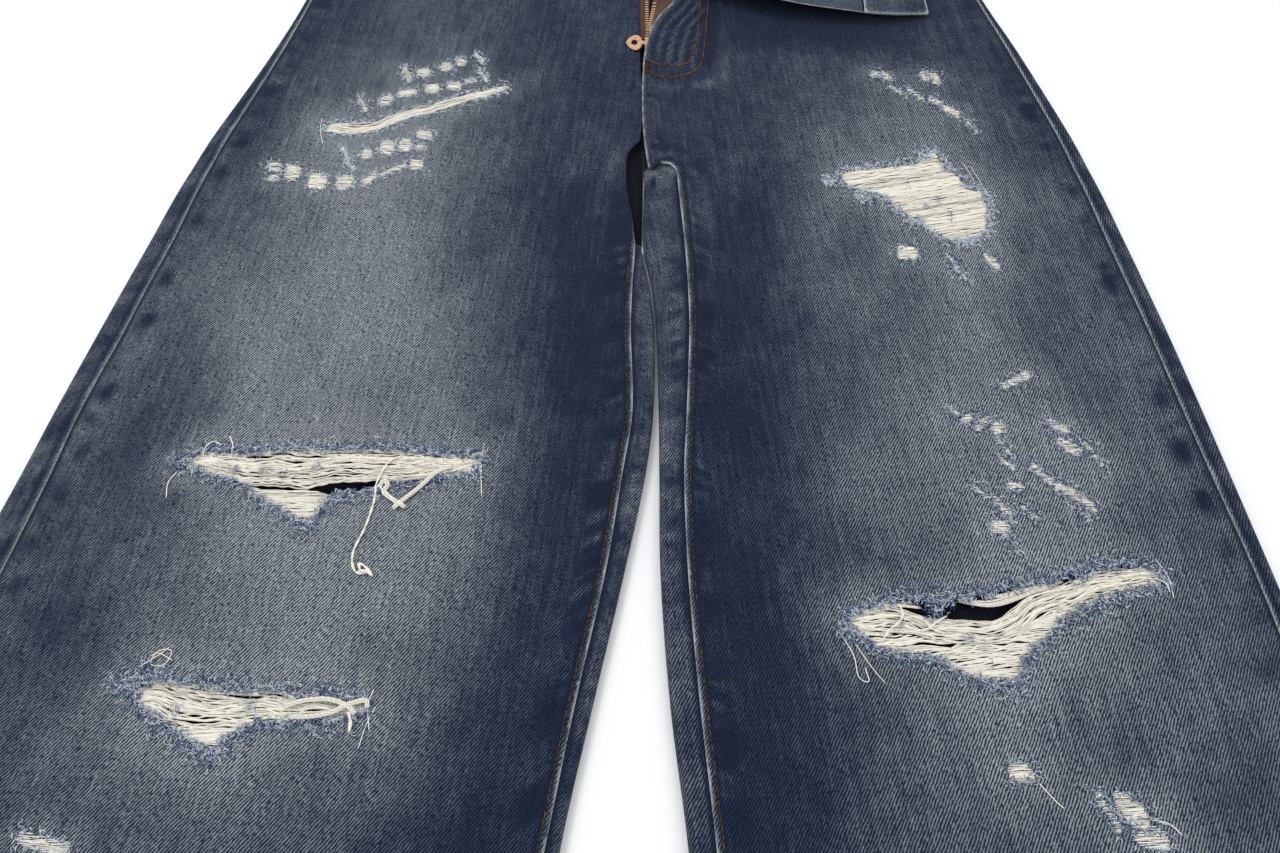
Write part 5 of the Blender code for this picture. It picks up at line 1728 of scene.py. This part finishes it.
# Leg, radius, then places (x, y, height)
LOOSE_THREADS = (
    (-1, 0.55, ((-112, -180, 0.2), (-118, -184, 0.9), (-122, -195, 0.8), (-122, -205, 0.6), (-124, -218, 0.6),
                (-127.5, -230, 0.6), (-127, -237, 0.7), (-124.5, -241, 0.6), (-120, -241, 1.0))),
    (-1, 0.62, ((-124.5, -241, 0.7), (-121, -240, 1.2), (-117.5, -242.5, 1.0), (-121, -238.5, 1.6),
                (-124, -237, 1.2), (-122.5, -240.5, 1.9), (-119.5, -240.5, 1.4))),
    (-1, 0.8, ((-88, -186, 0.3), (-95, -190, 1.1), (-101, -197, 1.2), (-108, -204, 0.9), (-113, -209, 0.7))),
    (-1, 0.8, ((-121, -198, 0.5), (-118.5, -194.5, 1.3), (-116.5, -197.5, 1.8), (-118, -200.5, 1.4),
               (-114, -204, 1.3), (-107, -208.5, 0.8))),
    (-1, 0.6, ((-120.5, -196, 0.7), (-119, -199, 1.5), (-115, -202.5, 1.9), (-112, -206.5, 1.3))),
    (-1, 0.25, ((-74, -173, 0.3), (-74.5, -185, 0.6), (-73, -202, 0.3))),
    (-1, 0.22, ((-72, -176, 0.3), (-75, -184, 0.6), (-74, -194, 0.3))),
    (-1, 0.3, ((-206, -181, 0.4), (-206, -176, 0.8), (-203, -172.5, 0.7), (-199, -174, 0.5))),
    (-1, 0.3, ((-193, -182, 0.4), (-193, -175, 1.0), (-196, -169, 0.5))),
    (-1, 0.26, ((-216, -188, 0.3), (-219, -195, 0.5), (-218, -203, 0.4))),
    (-1, 0.75, ((-146, -301, 0.5), (-138, -298.5, 1.2), (-128, -298, 1.4), (-120, -300.5, 1.2),
                (-116, -304, 0.9))),
    (-1, 0.75, ((-143, -305, 0.5), (-134, -305, 1.0), (-126, -303.5, 1.3), (-119, -300, 1.5),
                (-112.5, -298.5, 1.2),
                (-111.5, -301.5, 0.8))),
    (-1, 0.7, ((-119, -303, 0.9), (-117.5, -307, 1.0), (-117.5, -311.5, 0.7))),
    (-1, 0.22, ((-207, -280, 0.4), (-202, -276.5, 1.0), (-197.5, -277, 0.8), (-199, -283, 1.2),
                (-205, -282.5, 0.6),
                (-203, -278, 1.4), (-196, -281, 0.5))),
    (-1, 0.22, ((-210, -284, 0.4), (-203, -279, 0.8), (-199, -275, 0.4))),
    (-1, 0.24, ((-110, -293, 0.3), (-111.5, -300, 0.6), (-109.5, -311, 0.3))),
    (-1, 0.2, ((-113, -318, 0.3), (-111, -308, 0.5), (-108, -300, 0.3))),
    (1, 0.45, ((112, -255, 0.4), (113, -260, 1.2), (111, -264, 1.5), (106, -268, 1.4), (103, -272, 0.7))),
    (1, 0.45, ((113, -263, 0.8), (117, -261.5, 1.4), (122, -264, 1.5), (125, -267.5, 1.2), (130, -269, 0.6))),
    (1, 0.4, ((132, -261, 0.6), (127, -264, 1.5), (123, -267, 1.2), (118, -268, 0.6))),
    (1, 0.24, ((86, -270, 0.3), (90, -279, 0.6), (91, -288, 0.4), (95, -290, 0.7), (94, -284, 0.9))),
    (1, 0.2, ((91, -273, 0.3), (97, -284, 0.5), (102, -291, 0.3))),
    (1, 0.24, ((229, -234, 0.3), (232, -243, 0.7), (232, -253, 0.3))),
    (1, 0.3, ((226, -243, 0.6), (230, -246, 1.0), (231, -250, 0.5))),
    (1, 0.16, ((189, 14, 0.2), (193, -2, 0.5), (197, -20, 0.2))),
    (1, 0.16, ((184, 18, 0.2), (188, 6, 0.5), (190, -6, 0.2))),
    (-1, 0.2, ((-188, 53, 0.2), (-187, 42, 0.6), (-184, 31, 0.2))),
    (1, 0.25, ((157, -331, 0.3), (162, -338, 0.6), (165, -341, 0.3))),
    (1, 0.3, ((198, -345, 0.4), (204, -347, 0.9), (208, -351, 0.4))),
)
BUNDLE_RADIUS = 0.7
YARN_RADIUS = 0.42


def twisted(curve, radius, rng):
    """Strands of a loose yarn, twisted round its middle line: each with its radius."""
    count = 5 if radius > BUNDLE_RADIUS else 2
    run = np.gradient(curve, axis=0)
    across = np.stack((-run[:, 1], run[:, 0]), -1)
    across /= np.maximum(np.linalg.norm(across, axis=1), 1e-6)[:, None]
    length = run_length(curve)
    strands = []
    for k in range(count):
        turn = 2 * math.pi * k / count + length * 0.55
        spread = radius * (0.95 if count > 2 else 0.5)
        strand = curve.copy()
        strand[:, :2] += across * (np.cos(turn) * spread)[:, None]
        strand[:, 2] += np.sin(turn) * spread * 0.7 + spread * 0.7
        strands.append((radius * (0.42 if count > 2 else 0.62), strand))
    return strands


for side in (-1, 1):
    chosen = []
    for leg_side, radius, line in LOOSE_THREADS:
        if leg_side == side:
            curve = smooth_line(line, 8)
            curve[:, 2] += front_height(curve[:, 0], curve[:, 1], side)
            if radius > YARN_RADIUS:
                chosen += twisted(curve, radius, random.Random(len(chosen)))
            else:
                chosen.append((radius, curve))
    radii, lines = zip(*chosen)
    loose = sweep(f"loose_threads_{LABELS[side]}", lines, radii, [0.95] * len(lines), weft_material, sides=6)

# %% Fuzz
FIBRE_STEPS = 4


def fibre(x, y, length, heading, curl, rise):
    """A short curling fibre that starts on the cloth."""
    t = np.linspace(0, 1, FIBRE_STEPS)
    angle = heading + curl * t
    step = length / (FIBRE_STEPS - 1)
    line_x = x + np.concatenate(((0,), np.cumsum(np.cos(angle[:-1]) * step)))
    line_y = y + np.concatenate(((0,), np.cumsum(np.sin(angle[:-1]) * step)))
    return np.stack((line_x, line_y, 0.05 + rise * np.sin(np.pi * np.minimum(t * 0.9 + 0.05, 1))), -1)


def tuft(x, y, rng, count, size, white):
    """Fibres that spring from one place, each with its radius and tone."""
    spread = rng.uniform(0, 2 * math.pi)
    fibres = []
    for _ in range(count):
        start = (x + rng.gauss(0, 0.35), y + rng.gauss(0, 0.35))
        curl = rng.choice((-1, 1)) * rng.uniform(0.6, 3.2)
        heading = spread + rng.gauss(0, 0.9)
        line = fibre(*start, size * rng.uniform(0.6, 1.4), heading, curl, rng.uniform(0.25, 1.1))
        tone = rng.uniform(0.75, 1.1) if rng.random() < white else rng.uniform(0, 0.55)
        fibres.append((line, rng.uniform(0.11, 0.19), tone))
    return fibres


def edge_tufts(ring, rng, density, reach, white, count=(3, 5), size=2.4, inner=-1.2):
    """Tufts along a closed ring, thinning outwards."""
    ring = dense(ring, 0.8, closed=True)
    fibres = []
    for (ax, ay), (bx, by) in zip(ring, ring[1:] + ring[:1]):
        out = Vector((by - ay, ax - bx))
        if out.length < 1e-6:
            continue
        out.normalize()
        if inside(np.array([(ax + out.x * 0.6, ay + out.y * 0.6)]), ring)[0]:
            out = -out
        for _ in range(int(density + rng.random())):
            away = min(rng.expovariate(1 / (reach * 0.4)), reach * 1.4) + inner
            x, y = ax + out.x * away + rng.gauss(0, 0.7), ay + out.y * away + rng.gauss(0, 0.7)
            fibres += tuft(x, y, rng, rng.randint(*count), size, white)
    return fibres


def lay_fibres(name, fibres, side):
    """One piece of fuzz on the cloth of one leg."""
    points = np.array([line for line, _, _ in fibres])
    points[..., 2] += front_height(points[..., 0], points[..., 1], side) + 0.25
    _, radii, tones = zip(*fibres)
    obj = sweep(name, points, radii, tones, fuzz_material, sides=3, taper=0.5)
    return len(fibres)


# Density, reach and share of white fibres
PATCH_FUZZ = {-1: (0.8, 2.2, 0.8), 1: (1.1, 3.0, 0.4)}
FUZZ_LOOK = {
    "rip_thigh_slit": (0.8, 2.4, 0.8),
    "rip_right_upper": (2.3, 4.4, 0.36),
    "rip_right_lower": (2.4, 5.2, 0.38),
    "rip_left_thigh": (1.5, 3.6, 0.8),
    "rip_left_knee": (2.4, 5.0, 0.34),
}
# Middle, radius and fullness of the places that are all fuzz
SPOT_SHARE = 0.55
FUZZ_SPOTS = {
    "rip_right_lower": ((-215, -291, 5.5, 130), (-171, -322, 4, 40), (-206, -285, 5, 50)),
    "rip_left_knee": ((128, -257, 6, 90), (87, -268, 4, 60), (150, -294, 5, 50), (195, -239, 6, 60)),
    "rip_right_upper": ((-219, -184, 3, 40), (-151, -220, 4, 40), (-139, -202, 3.5, 50)),
    "rip_left_thigh": (
        (107, 2, 5, 110), (124, -12, 6, 60), (150, -30, 5, 60), (178, -45, 6, 70), (163, 22, 4, 40),
    ),
    "rip_thigh_slit": ((-186, 44, 2, 16),),
}
fibre_count = 0
for k, (name, rip) in enumerate(RIPS.items()):
    rng = random.Random(500 + k)
    density, reach, white = FUZZ_LOOK[name]
    inner = 0.4 if "raised" in rip else -1.2
    fibres = edge_tufts(closed_ring(rip["top"], rip["low"]), rng, density, reach, white, inner=inner)
    for x, y, radius, count in FUZZ_SPOTS[name]:
        for _ in range(round(count * SPOT_SHARE)):
            place = (x + rng.gauss(0, radius * 0.5), y + rng.gauss(0, radius * 0.5))
            fibres += tuft(*place, rng, rng.randint(2, 5), 2.4, white)
    fibre_count += lay_fibres(f"{name}_fuzz", fibres, rip["side"])
for side, patches in PATCHES.items():
    rng = random.Random(600 + side)
    fibres = []
    for patch in patches:
        fibres += edge_tufts(patch_ring(patch), rng, *PATCH_FUZZ[side], (2, 4), 2.2, -0.7)
    fibre_count += lay_fibres(f"patch_fuzz_{LABELS[side]}", fibres, side)
print("fuzz fibres:", fibre_count)

# Blue warp threads that lie over the cream ones: X, top and bottom in Y, width
WARP_BITS = {
    1: ((146, -270, -284, 1.6), (140, -268, -271, 3.0), (152, 5, -3, 2.5), (160, -14, -19, 3.0),
        (166, -8, -14, 2.0),
        (171, -20, -27, 2.5), (145, -14, -20, 3.0), (155, -25, -29, 3.0), (112, -261, -266, 2.0)),
    -1: ((-189, -184, -189, 3.0), (-176, -184, -190, 2.5), (-166, -186, -192, 2.0), (-152, -182, -186, 2.5),
         (-190, -298, -304, 3.0), (-160, -297, -301, 2.5), (-143, -303, -306, 2.5)),
}
for side, bits in WARP_BITS.items():
    rng = random.Random(700 + side)
    fibres = []
    for x, high, low, wide in bits:
        for _ in range(round(wide * 7)):
            y = rng.uniform(low, high)
            start_x, length = x + rng.gauss(0, wide * 0.45), rng.uniform(2.0, 4.5)
            heading, curl = -1.6 + rng.gauss(0, 0.5), rng.uniform(-1.5, 1.5)
            line = fibre(start_x, y, length, heading, curl, rng.uniform(0.3, 0.9))
            fibres.append((line, rng.uniform(0.06, 0.12), rng.uniform(0.1, 0.9)))
    lay_fibres(f"warp_bits_{LABELS[side]}", fibres, side)

# %% [markdown]
# ## Stitching


# %% Stitch rows
STITCH_PITCH = 3.1
STITCH_LENGTH = 2.7
STITCH_SHARES = np.array((0.0, 0.22, 0.5, 0.78, 1.0))
STITCH_RISE = np.array((-0.35, 0.55, 1.0, 0.55, -0.35)) * 0.21
BAND_STITCH_LENGTH = 2.3
BAND_STITCH_RISE = np.array((-0.08, 0.12, 0.2, 0.12, -0.08))


def stitch_row(line, lay, seed, pitch=STITCH_PITCH):
    """Stitches along a plan line; each rises out of the cloth and dives back."""
    rng = random.Random(seed)
    line = np.array(line, float)
    marks = run_length(line)
    result = []
    s = rng.uniform(0, 1)
    while s + STITCH_LENGTH < marks[-1]:
        t = s + STITCH_SHARES * STITCH_LENGTH
        x, y = (np.interp(t, marks, line[:, k]) for k in (0, 1))
        result.append(np.array(lay(x + rng.gauss(0, 0.05), y, STITCH_RISE)))
        s += pitch * rng.uniform(0.94, 1.06)
    return result


def front_lay(side):
    def lay(x, y, h):
        return lay_front(x, y, h + front_wear_and_shade(x, y, side)[0], side)

    return lay


def stitches(name, rows, material, radius=0.34):
    lines = [line for row in rows for line in row]
    rng = random.Random(len(name))
    tones = [rng.random() for _ in lines]
    obj = sweep(name, lines, [radius] * len(lines), tones, material, sides=3, taper=0.7)


J_INNER = (
    (4, 99.5), (10, 97), (17, 96), (24, 98), (30, 103), (33, 112), (35, 122), (38, 150), (41, 190), (41, 284),
)
J_OUTER = (
    (4, 92), (11, 89), (19, 88), (26, 90), (32, 94), (37, 101), (39, 109), (40, 120), (43, 150), (46, 190),
    (46, 284),
)
HEM_STITCH_Y = HEM_Y + HEM_DEPTH - 2
front_rows = []
for side in (-1, 1):
    lay = front_lay(side)
    ys = spaced(HEM_Y + 12, -44 if side < 0 else 2, 8)
    seam = [(leg_at(side, y, "inseam") + side * 3.0, y) for y in ys]
    front_rows.append(stitch_row(seam, lay, seed=3 + side))
    mouth = pocket_mouth(side)
    for offset in (2.2, 7.2):
        inner = [(x - side * offset, y - offset * 0.7) for x, y in mouth[2:]]
        front_rows.append(stitch_row(inner, lay, seed=9 + side))
    hem_ends = (leg_at(side, HEM_Y, seam) for seam in ("side_seam", "inseam"))
    hem = [(x, HEM_STITCH_Y) for x in spaced(*hem_ends, 10)]
    front_rows.append(stitch_row(hem, lay, seed=13 + side))
left_lay = front_lay(1)
centre = [(read_at(CENTRE_FRONT, y) + 2.4, y) for y in spaced(16, 84, 4)]
front_rows.append(stitch_row(centre, left_lay, seed=21))
stitches("seam_stitches_front", front_rows, stitch_material)
fly_rows = [stitch_row(line, left_lay, seed, 2.9) for line, seed in ((J_INNER, 31), (J_OUTER, 32))]
stitches("fly_stitches", fly_rows, bartack_material, 0.55)

# %% Bar-tacks
BARTACKS = [((4.2, 90.5), (4.2, 99.5), 1)]
for side in (-1, 1):
    seam_x, mouth_y = leg_at(side, POCKET_MOUTH[1], "side_seam"), POCKET_MOUTH[1]
    BARTACKS.append(((seam_x - side * 10, mouth_y - 3.5), (seam_x - side * 4, mouth_y - 3), side))


def bartack(start, end, lay, width=2.2, pitch=0.45):
    """Close zigzag stitches over a short line."""
    a, b = np.array(start, float), np.array(end, float)
    run = (b - a) / np.linalg.norm(b - a)
    across = np.array((-run[1], run[0]))
    lines = []
    for k in range(int(np.linalg.norm(b - a) / pitch)):
        middle = a + run * pitch * k
        t = np.linspace(-0.5, 0.5, 5)
        x, y = (middle[i] + across[i] * t * width for i in (0, 1))
        lines.append(np.array(lay(x, y, 0.1 + 0.3 * np.cos(t * math.pi))))
    return lines


def loop_tack(x, y, lay):
    """A bar-tack across the end of a belt loop."""
    return bartack((x - 5, y), (x + 5, y), lambda a, b, h: lay(a, b, h + 1.0))


tack_rows = [bartack(start, end, front_lay(side)) for start, end, side in BARTACKS]
LOOP_ENDS = (-4, 38)
tack_rows += [loop_tack(RIGHT_LOOP_X, WAIST_SEAM_Y + v, on_top) for v in LOOP_ENDS]
tack_rows += [loop_tack(*waist_line(LEFT_LOOP_ALONG, v), on_turned) for v in LOOP_ENDS]
stitches("bartacks", tack_rows, bartack_material, 0.24)


# %% Band, yoke and pocket stitches
def band_stitches():
    rows = band_rows()
    lines = []
    for column in (2, 10):
        path, middle = rows[:, column], rows[:, BAND_MIDDLE]
        marks = run_length(path)
        across = middle - path if column < BAND_MIDDLE else path - middle
        normals = np.cross(np.gradient(path, axis=0), across)
        normals /= np.maximum(np.linalg.norm(normals, axis=1), 1e-9)[:, None]
        s = 2.0
        while s + 2.4 < marks[-1] - 2:
            t = s + STITCH_SHARES * BAND_STITCH_LENGTH
            base = np.stack([np.interp(t, marks, path[:, k]) for k in range(3)], -1)
            up = np.stack([np.interp(t, marks, normals[:, k]) for k in range(3)], -1)
            lines.append(base + up * BAND_STITCH_RISE[:, None])
            s += STITCH_PITCH
    return lines


def under_lay(z):
    def lay(x, y, h):
        return np.stack((x, y, z - h * 0.6), -1)

    return lay


back_rows = []
for side in (-1, 1):
    for inset in (2.0, 7.5):
        outline = pocket_outline(side, inset)
        back_rows.append(stitch_row(outline, under_lay(0.12), seed=41 + side))
    top = [(p[0], POCKET_AT[1] - 2) for p in (outline[0], outline[-1])]
    back_rows.append(stitch_row(top, under_lay(0.12), seed=45))
    for offset in (2.5, 8.0):
        xs = spaced(side * 3, leg_at(side, 200, "side_fold") - side * 6, 8)
        seam = [(x, float(yoke_seam(x, side)) + offset) for x in xs]
        back_rows.append(stitch_row(seam, under_lay(SEAT_LIFT), seed=47 + side))
    hem_start, hem_end = leg_at(side, HEM_Y, "side_fold"), leg_at(side, HEM_Y, "inner_fold")
    hem = [(x, HEM_STITCH_Y) for x in spaced(hem_start - side * 6, hem_end + side * 6, 10)]
    back_rows.append(stitch_row(hem, under_lay(0.1), seed=51))
for offset in (2.0, 7.0):
    rise = [(read_at(CENTRE_BACK, y) + offset, y) for y in spaced(12, WAIST_SEAM_Y - 3, 10)]
    back_rows.append(stitch_row(rise, lambda x, y, h: np.stack((x, y, lift(y) - h * 0.6), -1), seed=55))
back_rows.append(band_stitches())
stitches("seam_stitches_back", back_rows, stitch_material)
